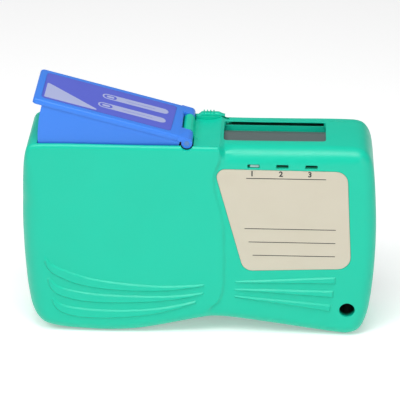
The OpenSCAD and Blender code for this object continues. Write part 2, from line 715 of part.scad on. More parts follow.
// Lever, drawn pressed down and flat about its hinge pin, then raised by its swing
module raised() {
    translate([pivot_x, 0, pivot_z]) rotate([0, lever_swing, 0]) children();
}
plate_over_knuckle = 0.1;
lever_top = knuckle_r + plate_over_knuckle;
lever_under = lever_top - lever_plate;
skirt_end_a = asin(lever_drop / skirt_r);
skirt_steps = 8;
skirt_toe = 0.6;
skirt_toe_x = -knuckle_r - skirt_toe;
skirt_toe_z = -knuckle_r;
function skirt_arc(r) = [for (k = [0:skirt_steps])
    let (a = half_turn + skirt_end_a * k / skirt_steps) [r * cos(a), r * sin(a)]];
module skirt_shape(r, top) {
    polygon(concat([[skirt_toe_x, top], [-r, top]], skirt_arc(r), [[skirt_toe_x, skirt_toe_z]]));
}
plate_end_gap = 0.5;
plate_end_x = -knuckle_r - plate_end_gap;
lever_label_t = 0.3;
lever_label_in = 2.6;
lever_label_x0 = -lever_l + lever_label_in;
lever_label_x1 = -knuckle_r - lever_label_in;
module lever_label_shape(gap) {
    translate([0, 0, lever_top - lever_label_t]) linear_extrude(lever_label_t + (gap > 0 ? 0 : cut_over))
        rounded_rect([lever_label_x0 + gap, lever_y0 + lever_label_in + gap],
            [lever_label_x1 - gap, lever_y1 - lever_label_in - gap], window_corner_r);
}
rib_t = 1.6;
arm_rib_x0 = -20;
arm_rib_x1 = -8;
arm_rib_drop = 5;
push_a = lever_swing / 2;
push_rx = -push_l * cos(push_a);
push_rz = -push_l * sin(push_a);
push_wall = 1.2;
module lever() {
    color("#508cf0") raised() difference() {
        union() {
            block([-lever_l, lever_y0, lever_under], [plate_end_x, lever_y1, lever_top]);
            difference() {
                slab(lever_y0, lever_y1) skirt_shape(skirt_r, lever_under + lever_plate / 2);
                slab(lever_y0 + lever_skirt, lever_y1 - lever_skirt) union() {
                    skirt_shape(skirt_r - lever_skirt, lever_under);
                    translate([-skirt_r / 2, -lever_drop - cut_over]) square([skirt_r / 2, lever_drop + cut_over]);
                }
                slab(lever_y0 + lever_skirt, lever_y1 - lever_skirt)
                    translate([-skirt_r + lever_skirt * 3, -lever_drop - cut_over])
                        square([skirt_r - lever_skirt * 3, lever_drop + cut_over]);
            }
            bar_y(0, 0, knuckle_r, lever_y0, housing_knuckle_y0 - slide_gap);
            bar_y(0, 0, knuckle_r, housing_knuckle_y1 + slide_gap, lever_y1);
            block([plate_end_x - cut_over, lever_y0, 0], [0, housing_knuckle_y0 - slide_gap, lever_top]);
            block([plate_end_x - cut_over, housing_knuckle_y1 + slide_gap, 0], [0, lever_y1, lever_top]);
            block([arm_rib_x0, gear_y1, -arm_rib_drop],
                [arm_rib_x1, gear_y1 + rib_t, lever_under + lever_plate / 2]);
            block([push_rx - push_wall, slider_y0, push_rz],
                [push_rx + push_wall, slider_y1, lever_under + lever_plate / 2]);
            bar_y(push_rx, push_rz, push_r, slider_y0, slider_y1);
        }
        bar_y(0, 0, hinge_pin_r, lever_y0 - cut_over, lever_y1 + cut_over);
        lever_label_shape(0);
    }
}
module lever_label() {
    color("#5f64d2") raised() lever_label_shape(label_gap);
}
module hinge_pin() {
    color("#c9cdd1") bar_y(pivot_x, pivot_z, hinge_pin_r, lever_y0, lever_y1);
}

// Involute teeth. The pressure angle and the tooth heights are those of standard teeth.
pressure_a = 20;
addendum_share = 1;
dedendum_share = 1.25;
flank_steps = 4;
function involute_a(base, r) = r <= base ? 0 :
    let (t = sqrt(r * r / (base * base) - 1)) t * half_turn / PI - atan(t);
// Half the angle of a tooth at radius r, for pitch radius p
function tooth_half(p, r) =
    let (base = p * cos(pressure_a))
    right_angle / 2 * gear_module / p
    + involute_a(base, p) - involute_a(base, r) - tooth_gap / 2 / p * half_turn / PI;
function tooth_points(p, a) =
    let (base = p * cos(pressure_a), r0 = p - dedendum_share * gear_module, r1 = p + addendum_share * gear_module)
    concat(
        [for (k = [0:flank_steps]) let (r = lerp(r0, r1, k / flank_steps), h = tooth_half(p, r))
            [r * cos(a - h), r * sin(a - h)]],
        [for (k = [0:flank_steps]) let (r = lerp(r1, r0, k / flank_steps), h = tooth_half(p, r))
            [r * cos(a + h), r * sin(a + h)]]);
gear_r = gear_module * gear_teeth / 2;
centre_l = norm([takeup_x - pivot_x, takeup_z - pivot_z]);
arm_r = centre_l - gear_r;
arm_pitch_a = gear_module / arm_r * half_turn;
mesh_a = atan2(pivot_z - takeup_z, pivot_x - takeup_x);
gear_hole_n = 6;
gear_hole_r = 3;
gear_hole_ring = 10.5;
module drive_gear() {
    color("#e8e4d8") difference() {
        translate([takeup_x, 0, takeup_z]) slab(gear_y0, gear_y1)
            polygon([for (i = [0:gear_teeth - 1]) each tooth_points(gear_r, mesh_a + i * full_turn / gear_teeth)]);
        bar_y(takeup_x, takeup_z, spindle_r + bore_gap, gear_y0 - cut_over, gear_y1 + cut_over);
        for (i = [0:gear_hole_n - 1])
            bar_y(takeup_x + gear_hole_ring * cos(i * full_turn / gear_hole_n),
                takeup_z + gear_hole_ring * sin(i * full_turn / gear_hole_n), gear_hole_r,
                gear_y0 - cut_over, gear_y1 + cut_over);
    }
}
// Toothed arm on the lever. Its first gap faces the gear when the lever is up.
arm_teeth = 7;
arm_lead = 2;
arm_neck_x0 = -19;
arm_neck_x1 = -9;
arm_window = [-12.3, -22];
arm_window_r = 4.4;
arm_mesh_a = half_turn + mesh_a + lever_swing;
arm_first_a = arm_mesh_a + (arm_lead - 1 / 2) * arm_pitch_a;
module drive_arm() {
    color("#d9d4c4") raised() slab(gear_y0, gear_y1) difference() {
        polygon(concat(
            [[arm_neck_x0, -rib_t / 2], [arm_neck_x1, -rib_t / 2]],
            [for (i = [0:arm_teeth - 1]) each reversed(tooth_points(arm_r, arm_first_a - i * arm_pitch_a))]));
        translate(arm_window) circle(r = arm_window_r);
    }
}

// Ratchet wheel on the take-up reel and its pawl
ratchet_depth = 1.4;
ratchet_face_share = 0.1;
module ratchet_wheel() {
    color("#c9c4b4") difference() {
        translate([takeup_x, 0, takeup_z]) slab(ratchet_y0, ratchet_y1)
            polygon([for (i = [0:ratchet_teeth - 1]) each [
                on_circle([0, 0], ratchet_r, pawl_tip_a + i * full_turn / ratchet_teeth),
                on_circle([0, 0], ratchet_r - ratchet_depth,
                    pawl_tip_a + (i + ratchet_face_share) * full_turn / ratchet_teeth)]]);
        bar_y(takeup_x, takeup_z, spindle_r + bore_gap, ratchet_y0 - cut_over, ratchet_y1 + cut_over);
    }
}
pawl_tip_r = ratchet_r + pawl_gap;
pawl_tip = [takeup_x + pawl_tip_r * cos(pawl_tip_a), takeup_z + pawl_tip_r * sin(pawl_tip_a)];
pawl_dir = unit(pawl_tip - [pawl_x, pawl_z]);
pawl_side = [-pawl_dir[1], pawl_dir[0]];
module ratchet_pawl() {
    color("#8f959b") difference() {
        slab(ratchet_y0, ratchet_y1) union() {
            translate([pawl_x, pawl_z]) circle(r = pawl_hub_r);
            polygon([[pawl_x, pawl_z] + pawl_side * pawl_hub_r * 0.95, [pawl_x, pawl_z] - pawl_side * pawl_arm_w / 2,
                pawl_tip, pawl_tip + pawl_side * pawl_tip_w]);
        }
        bar_y(pawl_x, pawl_z, pawl_pin_r + bore_gap, ratchet_y0 - cut_over, ratchet_y1 + cut_over);
    }
}
module pawl_pin() {
    color("#c4c8cc") bar_y(pawl_x, pawl_z, pawl_pin_r, chassis_y0, ratchet_y1 + layer_gap);
}

// Reels: hub, front flange and rear flange in one piece, with the tape wound on
flange_hole_r = 3.4;
flange_hole_ring = 13;
flange_hole_n = 3;
module reel(x, z) {
    difference() {
        union() {
            bar_y(x, z, hub_r, flange_y0, rear_flange_y1);
            bar_y(x, z, reel_r, flange_y0, flange_y1);
            bar_y(x, z, reel_r, rear_flange_y0, rear_flange_y1);
        }
        bar_y(x, z, spindle_r + bore_gap, flange_y0 - cut_over, rear_flange_y1 + cut_over);
        for (i = [0:flange_hole_n - 1])
            bar_y(x + flange_hole_ring * cos(i * full_turn / flange_hole_n),
                z + flange_hole_ring * sin(i * full_turn / flange_hole_n), flange_hole_r,
                flange_y0 - cut_over, rear_flange_y1 + cut_over);
    }
}
module tape_roll(x, z, r) {
    difference() {
        bar_y(x, z, r, tape_y0, tape_y1);
        bar_y(x, z, hub_r, tape_y0 - cut_over, tape_y1 + cut_over);
    }
}
module takeup_reel() {
    color("#dfe3e6") reel(takeup_x, takeup_z);
}
module supply_reel() {
    color("#dfe3e6") reel(supply_x, supply_z);
}
module used_tape_roll() {
    color("#cfd2cc") tape_roll(takeup_x, takeup_z, used_r);
}
module fresh_tape_roll() {
    color("#f2f2ee") tape_roll(supply_x, supply_z, fresh_r);
}

// Cartridge frame: rear plate, pad table and the arms round the two reels.
// The guide plate lies under the closed shutter, the tape under the plate and the pad under the tape.
frame_arm_w = 9;
table_t = 2;
pad_t = 2.4;
plate_t = 1.2;
plate_room = 1.1;
plate_top_z = shutter_z + (shutter_r - shutter_t) * cos(shutter_half) - plate_room;
plate_z0 = plate_top_z - plate_t;
tape_top_z = plate_z0 - slide_gap;
pad_top_z = tape_top_z - tape_t - tape_gap;
pad_z0 = pad_top_z - pad_t;
table_z0 = pad_z0 - table_t;
frame_hub_r = 9;
module frame_link(a, b, w) {
    d = unit(b - a);
    s = [-d[1], d[0]] * w / 2;
    polygon([a + s, a - s, b - s, b + s]);
}
module cartridge_frame() {
    color("#eceee9") difference() {
        union() {
            slab(frame_y0, frame_y1) union() {
                translate([takeup_x, takeup_z]) circle(r = frame_hub_r);
                translate([supply_x, supply_z]) circle(r = frame_hub_r);
                frame_link([takeup_x, takeup_z], [supply_x, supply_z], frame_arm_w);
                frame_link([takeup_x, takeup_z], [left_roller_x, roller_z], frame_arm_w);
                frame_link([supply_x, supply_z], [right_roller_x, roller_z], frame_arm_w);
                translate([pad_x0, roller_z - frame_arm_w / 2])
                    square([pad_x1 - pad_x0, pad_z0 - roller_z + frame_arm_w / 2]);
                translate([left_roller_x, roller_z]) circle(r = frame_arm_w / 2);
                translate([right_roller_x, roller_z]) circle(r = frame_arm_w / 2);
            }
            block([pad_x0, tape_y0, table_z0], [pad_x1, frame_y0 + frame_t / 2, pad_z0]);
        }
        for (p = [[takeup_x, takeup_z], [supply_x, supply_z]])
            bar_y(p[0], p[1], spindle_r + bore_gap, frame_y0 - cut_over, frame_y1 + cut_over);
        for (x = [left_roller_x, right_roller_x])
            bar_y(x, roller_z, roller_pin_r, frame_y0 - cut_over, frame_y1 + cut_over);
    }
}
module roller_pins() {
    color("#c4c8cc") for (x = [left_roller_x, right_roller_x])
        bar_y(x, roller_z, roller_pin_r, flange_y0, frame_y1);
}
module guide_roller(x) {
    difference() {
        bar_y(x, roller_z, roller_r, tape_y0 - tape_side_gap / 2, tape_y1 + tape_side_gap / 2);
        bar_y(x, roller_z, roller_pin_r + bore_gap, tape_y0 - cut_over, tape_y1 + cut_over);
    }
}
module left_roller() {
    color("#9aa0a5") guide_roller(left_roller_x);
}
module right_roller() {
    color("#9aa0a5") guide_roller(right_roller_x);
}
module cleaning_pad() {
    color("#4a4e52")
        block([pad_x0, tape_y0 + tape_side_gap, pad_z0], [pad_x1, tape_y1 - tape_side_gap, pad_top_z]);
}

// Free runs of the tape: supply roll, right end of the pad, over the pad, left end, take-up roll
roll_gap = 0.15;
run_right_x = pad_x1 + tape_gap + tape_t;
run_left_x = pad_x0 - tape_gap - tape_t;
wrap_r = roller_r + tape_gap;
// Angle of the normal of the straight that touches two circles on their lower right
function touch_a(c1, r1, c2, r2) =
    let (d = c2 - c1) atan2(d[1], d[0]) - acos((r1 - r2) / norm(d));
left_roller_c = [left_roller_x, roller_z];
right_roller_c = [right_roller_x, roller_z];
takeup_c = [takeup_x, takeup_z];
supply_c = [supply_x, supply_z];
takeup_a = touch_a(takeup_c, used_r + roll_gap, left_roller_c, wrap_r);
supply_a = touch_a(supply_c, fresh_r + roll_gap, right_roller_c, wrap_r);
wrap_steps = 6;
function arc_points(c, r, a0, a1) = [for (k = [0:wrap_steps]) on_circle(c, r, lerp(a0, a1, k / wrap_steps))];
module tape_strip(c1, r1, c2, r2, a) {
    polygon([on_circle(c1, r1, a), on_circle(c2, r2, a),
        on_circle(c2, r2 + tape_t, a), on_circle(c1, r1 + tape_t, a)]);
}
lap_a = 1;
module tape_wrap(c, a) {
    end = a > 0 ? lap_a : -lap_a;
    polygon(concat(arc_points(c, wrap_r, a + end, -end), arc_points(c, wrap_r + tape_t, -end, a + end)));
}
module cleaning_tape() {
    color("#fafaf6") slab(tape_y0, tape_y1) union() {
        translate([run_left_x, pad_top_z + tape_gap]) square([run_right_x - run_left_x, tape_t]);
        translate([run_right_x - tape_t, roller_z]) square([tape_t, pad_top_z + tape_gap + tape_t - roller_z]);
        translate([run_left_x, roller_z]) square([tape_t, pad_top_z + tape_gap + tape_t - roller_z]);
        tape_wrap(left_roller_c, takeup_a);
        tape_wrap(right_roller_c, supply_a);
        tape_strip(takeup_c, used_r + roll_gap, left_roller_c, wrap_r, takeup_a);
        tape_strip(supply_c, fresh_r + roll_gap, right_roller_c, wrap_r, supply_a);
    }
}

// Guide plate with the two wiping slots, hung from the well behind the window
plate_edge = 1.2;
plate_y0 = window_y0 + plate_edge;
slot_pitch_share = 8 / 15;
slot_pitch = tape_w * slot_pitch_share;
well_z = top_z - wall - well_drop;
module guide_plate() {
    color("#f4f4f0") difference() {
        union() {
            block([window_x, plate_y0, plate_z0], [window_x1, parting_y - slide_gap, plate_top_z]);
            block([window_x, window_y1 + slide_gap, plate_z0], [window_x1, parting_y - slide_gap, well_z]);
        }
        for (y = [tape_c - slot_pitch / 2, tape_c + slot_pitch / 2])
            translate([0, 0, plate_z0 - cut_over]) linear_extrude(plate_t + 2 * cut_over)
                rounded_rect([(window_x + window_x1 - slot_l) / 2, y - slot_w / 2],
                    [(window_x + window_x1 + slot_l) / 2, y + slot_w / 2], slot_w / 2);
    }
}

// Shutter: part of a drum under the window, with an arm, an axle stub and a crank pin
module sector_yz(r, a0, a1, x0, x1) {
    translate([x0, tape_c, shutter_z]) rotate([right_angle, 0, right_angle]) rotate([0, 0, a0])
        rotate_extrude(angle = a1 - a0, $fn = 96) square([r, x1 - x0]);
}
shutter_a0 = right_angle - shutter_half;
shutter_a1 = right_angle + shutter_half;
crank_a = half_turn - shutter_swing / 2;
crank_y = tape_c + crank_r * cos(crank_a);
crank_z = shutter_z + crank_r * sin(crank_a);
shutter_hub_r = 3;
module shutter() {
    color("#65747a") union() {
        difference() {
            sector_yz(shutter_r, shutter_a0, shutter_a1, drum_x0, drum_x1);
            bar_x(tape_c, shutter_z, shutter_r - shutter_t, drum_x0 + arm_t, drum_x1 - arm_t);
        }
        bar_x(tape_c, shutter_z, shutter_hub_r, drum_x0, drum_x0 + arm_t);
        bar_x(tape_c, shutter_z, shutter_hub_r, drum_x1 - arm_t, drum_x1);
        bar_x(tape_c, shutter_z, axle_r, bearing_x0, drum_x0 + arm_t / 2);
        bar_x(tape_c, shutter_z, axle_r, drum_x1 - arm_t / 2, far_bearing_x1);
        bar_x(crank_y, crank_z, crank_pin_r, slider_x0, drum_x0 + arm_t / 2);
        bar_x(crank_y, crank_z, crank_pin_r + arm_t / 2, drum_x0, drum_x0 + arm_t);
    }
}

// Slider that the lever pushes down; its cross slot turns the shutter's crank
slot_y0 = tape_c - crank_r - crank_pin_r - crank_play;
slot_y1 = crank_y + crank_pin_r + crank_play;
module shutter_slider() {
    color("#e6b04a") difference() {
        union() {
            block([slider_x0, slider_y0, slider_foot_z + slider_travel / 2],
                [slider_x1, slider_y1, slider_bar_z + slider_bar_h]);
            block([push_x - push_r, slider_y0, slider_bar_z], [slider_x1, slider_y1, slider_bar_z + slider_bar_h]);
            block([push_x - push_r, slider_y0, slider_bar_z], [push_x + push_r, slider_y1, push_top_z]);
            block([guide_x0, slider_y0, slider_foot_z], [guide_x1, slider_y1, slider_bar_z + slider_bar_h]);
        }
        block([slider_x0 - slide_gap, slot_y0, crank_z - crank_pin_r - crank_play],
            [slider_x1 + cut_over, slot_y1, crank_z + crank_pin_r + crank_play]);
    }
}

// Coil spring along Z as one tube, swept round by a formula
coil_sides = 6;
coil_steps = 14;
module coil(x, y, z0, z1, r, wire, turns) {
    n = turns * coil_steps;
    rise = z1 - z0 - wire;
    points = [for (i = [0:n]) for (k = [0:coil_sides - 1])
        let (a = i * full_turn / coil_steps, b = k * full_turn / coil_sides, q = r - wire / 2 + wire / 2 * cos(b))
        [x + q * cos(a), y + q * sin(a), z0 + wire / 2 + rise * i / n + wire / 2 * sin(b)]];
    faces = concat(
        [[for (k = [0:coil_sides - 1]) k]],
        [[for (k = [0:coil_sides - 1]) n * coil_sides + coil_sides - 1 - k]],
        [for (i = [0:n - 1]) for (k = [0:coil_sides - 1])
            let (a = i * coil_sides + k, b = i * coil_sides + (k + 1) % coil_sides)
            each [[a, a + coil_sides, b + coil_sides], [a, b + coil_sides, b]]]);
    polyhedron(points = points, faces = turned(faces), convexity = 8);
}
lever_spring_turns = 7;
lever_spring_top = pivot_z + (pivot_x - spring_x - spring_r) * tan(lever_swing) - push_gap;
module lever_spring() {
    color("#aeb4ba")
        coil(spring_x, tape_c, spring_seat_z + push_gap, lever_spring_top, spring_r, spring_wire,
            lever_spring_turns);
}
slider_spring_turns = 5;
module slider_spring() {
    color("#aeb4ba") coil((guide_x0 + guide_x1) / 2, (slider_y0 + slider_y1) / 2, lug_z0 + push_gap,
        slider_foot_z - push_gap, small_spring_r, small_spring_wire, slider_spring_turns);
}

// Leaf spring behind the pawl, on a post of its own, and the brake leaf on the supply reel
leaf_t = 0.3;
leaf_l = 9;
pawl_leaf_back = 4;
pawl_leaf_x = pawl_x - pawl_leaf_back;
pawl_leaf_z = pawl_z + pawl_hub_r + push_gap;
post_w = 2.4;
module pawl_spring() {
    color("#aeb4ba") {
        block([pawl_leaf_x - post_w, ratchet_y0, pawl_leaf_z],
            [pawl_leaf_x - post_w + leaf_l, ratchet_y1, pawl_leaf_z + leaf_t]);
        block([pawl_leaf_x - post_w, chassis_y1, pawl_leaf_z],
            [pawl_leaf_x, ratchet_y0 + cut_over, pawl_leaf_z + post_w]);
    }
}
brake_l = 16;
module supply_brake() {
    color("#aeb4ba") {
        block([supply_x - brake_l / 2, flange_y0, supply_z + reel_r + slide_gap],
            [supply_x + brake_l / 2, flange_y1, supply_z + reel_r + slide_gap + leaf_t]);
        block([supply_x + brake_l / 2 - post_w, chassis_y1, supply_z + reel_r + slide_gap],
            [supply_x + brake_l / 2, flange_y0 + cut_over, supply_z + reel_r + slide_gap + post_w]);
    }
}

// White tab in a notch of the chassis that shows through the first indicator slot
tab_w = 6;
tab_h = 5.2;
tab_t = 1.2;
tongue_w = 3;
tongue_h = 4;
tab_gap = 0.05;
tab_c = indicator_x + indicator_w / 2;
module tab_tongue(gap) {
    block([tab_c - tongue_w / 2 - gap, chassis_y0 - (gap > 0 ? cut_over : 0), chassis_top_z - tongue_h - gap],
        [tab_c + tongue_w / 2 + gap, chassis_y1 + (gap > 0 ? cut_over : 0), chassis_top_z + tab_gap + cut_over]);
}
module type_tab() {
    color("#f6f6f2") {
        tab_tongue(0);
        block([tab_c - tab_w / 2, chassis_y0, chassis_top_z + tab_gap],
            [tab_c + tab_w / 2, chassis_y0 + tab_t, chassis_top_z + tab_h]);
    }
}

front_shell();
face_label();
rear_cover();
cover_latch();
chassis();
chassis_screws();
takeup_spindle();
supply_spindle();
lever();
lever_label();
hinge_pin();
drive_arm();
drive_gear();
ratchet_wheel();
ratchet_pawl();
pawl_pin();
pawl_spring();
takeup_reel();
supply_reel();
used_tape_roll();
fresh_tape_roll();
cartridge_frame();
roller_pins();
left_roller();
right_roller();
cleaning_pad();
cleaning_tape();
guide_plate();
shutter();
shutter_slider();
lever_spring();
slider_spring();
supply_brake();
type_tab();
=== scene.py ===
"""Looks of the hand-held reel cleaner for fibre plugs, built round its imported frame.

Lengths are in millimetres until a mesh is made, and angles are in degrees.
"""

import math

import bmesh
import bpy
import numpy as np
from mathutils import Matrix, Vector
from mathutils.geometry import delaunay_2d_cdt


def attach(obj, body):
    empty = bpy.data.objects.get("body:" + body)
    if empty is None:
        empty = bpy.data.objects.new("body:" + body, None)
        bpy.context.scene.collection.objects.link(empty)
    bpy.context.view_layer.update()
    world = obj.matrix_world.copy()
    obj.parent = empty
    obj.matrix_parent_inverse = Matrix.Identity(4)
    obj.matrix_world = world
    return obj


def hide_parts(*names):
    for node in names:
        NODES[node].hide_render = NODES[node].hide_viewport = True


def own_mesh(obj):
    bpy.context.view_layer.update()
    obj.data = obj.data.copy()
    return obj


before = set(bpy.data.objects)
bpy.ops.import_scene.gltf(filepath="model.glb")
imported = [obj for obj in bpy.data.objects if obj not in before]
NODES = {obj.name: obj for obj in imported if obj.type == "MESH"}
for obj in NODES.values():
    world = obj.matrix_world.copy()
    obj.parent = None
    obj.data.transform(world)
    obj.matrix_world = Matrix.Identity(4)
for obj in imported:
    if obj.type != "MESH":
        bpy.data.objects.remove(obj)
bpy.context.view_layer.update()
MM = 0.001

# ---- sizes, as in the solid model
BODY_W, BODY_H = 131.0, 78.0
GRIP_Y, FACE_STEP = -15.5, 0.9
LABEL_Y = GRIP_Y + FACE_STEP
WALL = 2.0
# All points closer than this are one, in metres, and how far cutters and joined pieces overlap
WELD, OVERLAP = 1e-7, 0.01
# Just outside the housing, where cutters end
IN_FRONT_Y, BEHIND_Y, ABOVE_Z = -18.0, 18.0, 80.0
PARTING_Y, REAR_Y = 12.0, 16.0
COVER_Y0 = 12.2
THUMB_R, SIDE_R, BASE_R, CROWN_R, REAR_R = 1.6, 7.5, 4.6, 6.4, 2.0
TOP_Z = 76.83
# The hinge: its pin's place in X and Z, and the knuckle's radius, bore, width and the foot of its web
PIVOT = (-4.2, 78.8)
KNUCKLE_R, PIN_BORE_R, HOUSING_KNUCKLE_Y, WEB_Z = 2.0, 1.0, (-5.4, 8.0), 75.0
BAY_X, BAY_Y, BAY_Z, BAY_R = (-58.6, -1.9), (-14.2, 14.2), (61.4, 81.0), 0.3
WINDOW_X, WINDOW_Y, WINDOW_R, WELL_DROP = (8.8, 46.2), (-6.0, 10.8), 1.3, 3.4
# The narrow gap behind the window: how far it falls short of each end, its rear end and its heights
GAP_END, GAP_REAR_Y, GAP_Z = 0.3, 14.6, (TOP_Z - 1.5, TOP_Z - 0.28)
# The soft dip in the grip's top between the hinge and the window
VALLEY_X, VALLEY_FRONT_Y, VALLEY_R, VALLEY_DEPTH = 1.9, -14.3, 15.0, 1.24
STRAP = (55.6, 11.6)
STRAP_R, TUBE_WALL = 2.9, 1.4
BOSS_R, BOSS_END_Y = 3.0, -12.3
# The three index slots in the face
INDEX_X, INDEX_PITCH, INDEX_L, INDEX_Z, INDEX_R = 17.8, 10.5, 4.4, (69.7, 71.15), 0.3
SCREWS = ((-52.0, 14.04), (-1.97, 16.77), (54.5, 33.54), (8.19, 54.6))

# Points of the outline, as shares of half the width and of the height, and the face's edge radius at each
OUTLINE = [
    (-0.905, 1.000), (-0.947, 0.984), (-0.966, 0.939), (-0.982, 0.846), (-0.995, 0.692),
    (-1.000, 0.538), (-0.994, 0.346), (-0.976, 0.167), (-0.947, 0.085), (-0.895, 0.038),
    (-0.802, 0.014), (-0.656, 0.003), (-0.504, 0.000), (-0.366, 0.008), (-0.229, 0.029),
    (-0.092, 0.056), (0.031, 0.077), (0.153, 0.078), (0.305, 0.063), (0.489, 0.041),
    (0.672, 0.018), (0.794, 0.004), (0.858, 0.001), (0.921, 0.024), (0.957, 0.083),
    (0.980, 0.180), (0.997, 0.359), (1.000, 0.564), (0.989, 0.744), (0.974, 0.872),
    (0.953, 0.936), (0.916, 0.973), (0.855, 0.985), (0.489, 0.985), (0.147, 0.985),
    (0.128, 0.992), (0.110, 1.000), (-0.305, 1.000),
]
MID_R = (THUMB_R + BASE_R) / 3
EDGE_R = (
    [THUMB_R, THUMB_R, MID_R, BASE_R] + [SIDE_R] * 4 + [(SIDE_R + BASE_R) / 2]
    + [BASE_R] * 23 + [(BASE_R + CROWN_R) / 2, CROWN_R, CROWN_R, (CROWN_R + THUMB_R) / 2, THUMB_R, THUMB_R]
)
# Where the grip's raised face ends, from the foot up, in X and Z
STEP_LINE = [
    (2.0, 3.0), (2.6, 7.0), (4.7, 11.7), (7.73, 14.8), (9.3, 20.3), (9.56, 28.1), (9.43, 37.4),
    (9.04, 46.8), (7.73, 53.8), (6.03, 60.1), (5.76, 65.9), (6.55, 69.0), (8.0, 73.5), (8.4, 80.0),
]
# The step is STEP_W wide, and STEP_FOOT_W wider at its foot, from STEP_FADE_Z down over STEP_FADE_H
STEP_W, STEP_FOOT_W, STEP_FADE_Z, STEP_FADE_H = 1.6, 9.0, 4.0, 7.0
# Middle lines of the grip ribs, in the same shares as the outline
LEFT_RIBS = [
    [(-0.868, 0.408), (-0.845, 0.365), (-0.800, 0.335), (-0.690, 0.296), (-0.570, 0.272), (-0.440, 0.260),
     (-0.310, 0.254), (-0.180, 0.255), (-0.070, 0.264), (0.035, 0.277)],
    [(-0.855, 0.300), (-0.830, 0.256), (-0.780, 0.227), (-0.675, 0.204), (-0.560, 0.194), (-0.440, 0.192),
     (-0.310, 0.194), (-0.180, 0.201), (-0.070, 0.214), (0.030, 0.232)],
    [(-0.835, 0.190), (-0.805, 0.150), (-0.750, 0.126), (-0.660, 0.113), (-0.560, 0.109), (-0.440, 0.111),
     (-0.330, 0.119), (-0.220, 0.134), (-0.110, 0.158), (-0.010, 0.186)],
]
RIGHT_RIBS = [
    [(0.208, 0.292), (0.400, 0.297), (0.600, 0.304), (0.780, 0.309)],
    [(0.203, 0.250), (0.400, 0.246), (0.600, 0.240), (0.770, 0.235)],
    [(0.203, 0.213), (0.400, 0.194), (0.600, 0.175), (0.757, 0.158)],
]
# Height of the ribs, width of their flanks, and how far the fine mesh reaches round them
RIB_H, RIB_FLANK, RIB_RIM = 0.6, 0.6, 0.25
# Width of the ribs at shares of their length
LEFT_RIB_W = ((0.0, 1.3), (0.1, 3.6), (0.22, 4.2), (0.36, 3.9), (0.6, 3.1), (0.83, 2.0), (1.0, 1.0))
RIGHT_RIB_W = ((0.0, 0.9), (1.0, 3.0))
# The face label's corners, as shares of half the width and of the height, and their radii
LABEL = [(0.085, 0.887), (0.828, 0.883), (0.865, 0.372), (0.255, 0.352)]
LABEL_R = (3.2, 4.5, 4.8, 4.2)
# How finely the housing is drawn: steps between the outline's points, turns of its edge, spacing on its face
OUTLINE_STEPS, EDGE_TURNS, FACE_SPACING = ((6, 8, 1.5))


def scaled(shares):
    return np.array([(x * BODY_W / 2, z * BODY_H) for x, z in shares])


# ---- the housing's outline
def hermite_loop(knots, steps):
    """Points of a closed curve through the knots, with tangents that keep the straight runs straight."""
    after = np.roll(knots, -1, axis=0)
    chord = after - knots
    length = np.linalg.norm(chord, axis=1)[:, None]
    tangent = (np.roll(chord, 1, axis=0) + chord) / (np.roll(length, 1, axis=0) + length)
    leaving, arriving = tangent * length, np.roll(tangent, -1, axis=0) * length
    t = (np.arange(steps) / steps)[:, None]
    u, c = t * t, t * t * t
    shares = (2 * c - 3 * u + 1, c - 2 * u + t, 3 * u - 2 * c, c - u)
    return sum(v[:, None] * w for v, w in zip((knots, leaving, after, arriving), shares)).reshape(-1, 2)


def housing_outline():
    """The outline's points, the way inward at each, and the radius of the face's edge there."""
    loop = hermite_loop(scaled(OUTLINE), OUTLINE_STEPS)
    left, right = loop[:, 0].min(), loop[:, 0].max()
    loop[:, 0] = (loop[:, 0] - left) * BODY_W / (right - left) - BODY_W / 2
    loop[:, 1] -= loop[:, 1].min()
    inward = left_of(heading(loop, closed=True))
    crown = (loop[:, 1] > 0.98 * BODY_H) & (np.abs(loop[:, 0]) < 0.88 * BODY_W / 2)
    inward[crown] = (0, -1)
    for _ in range(2 * OUTLINE_STEPS):
        inward = (np.roll(inward, 1, axis=0) + 2 * inward + np.roll(inward, -1, axis=0)) / 4
    inward /= np.linalg.norm(inward, axis=1)[:, None]
    radii = np.array(EDGE_R)
    change = (np.roll(radii, -1) - radii)[:, None]
    return loop, inward, (radii[:, None] + change * np.arange(OUTLINE_STEPS) / OUTLINE_STEPS).ravel()


def heading(line, closed=False):
    """Unit direction of a line at each of its points."""
    along = np.roll(line, -1, axis=0) - np.roll(line, 1, axis=0) if closed else np.gradient(line, axis=0)
    return along / np.linalg.norm(along, axis=1)[:, None]


def left_of(along):
    return np.stack([-along[:, 1], along[:, 0]], axis=1)


def smooth(t):
    t = np.clip(t, 0, 1)
    return t * t * (3 - 2 * t)


def dense_line(points, count):
    """Points along a smooth open curve through the given points."""
    p = np.array(points, float)
    padded = np.vstack([2 * p[0] - p[1], p, 2 * p[-1] - p[-2]])
    out = []
    for i in range(1, len(padded) - 2):
        a, b, c, d = padded[i - 1:i + 3]
        for t in np.linspace(0, 1, count, endpoint=False):
            out.append(0.5 * (2 * b + (c - a) * t + (2 * a - 5 * b + 4 * c - d) * t * t
                              + (3 * b - a - 3 * c + d) * t ** 3))
    out.append(padded[-2])
    return np.array(out)


STEP_CURVE = dense_line(STEP_LINE, 8)


def face_plane(xz):
    """Depth of the front at each point: the grip stands proud of the label half, with a soft step between."""
    x_step = np.interp(xz[:, 1], STEP_CURVE[:, 1], STEP_CURVE[:, 0])
    fade = smooth((xz[:, 1] - STEP_FADE_Z) / STEP_FADE_H)
    width = STEP_W + (1 - fade) * STEP_FOOT_W
    return GRIP_Y + FACE_STEP * smooth((xz[:, 0] - x_step) / width + 0.5)


def travelled(line):
    return np.concatenate([[0], np.cumsum(np.linalg.norm(np.diff(line, axis=0), axis=1))])


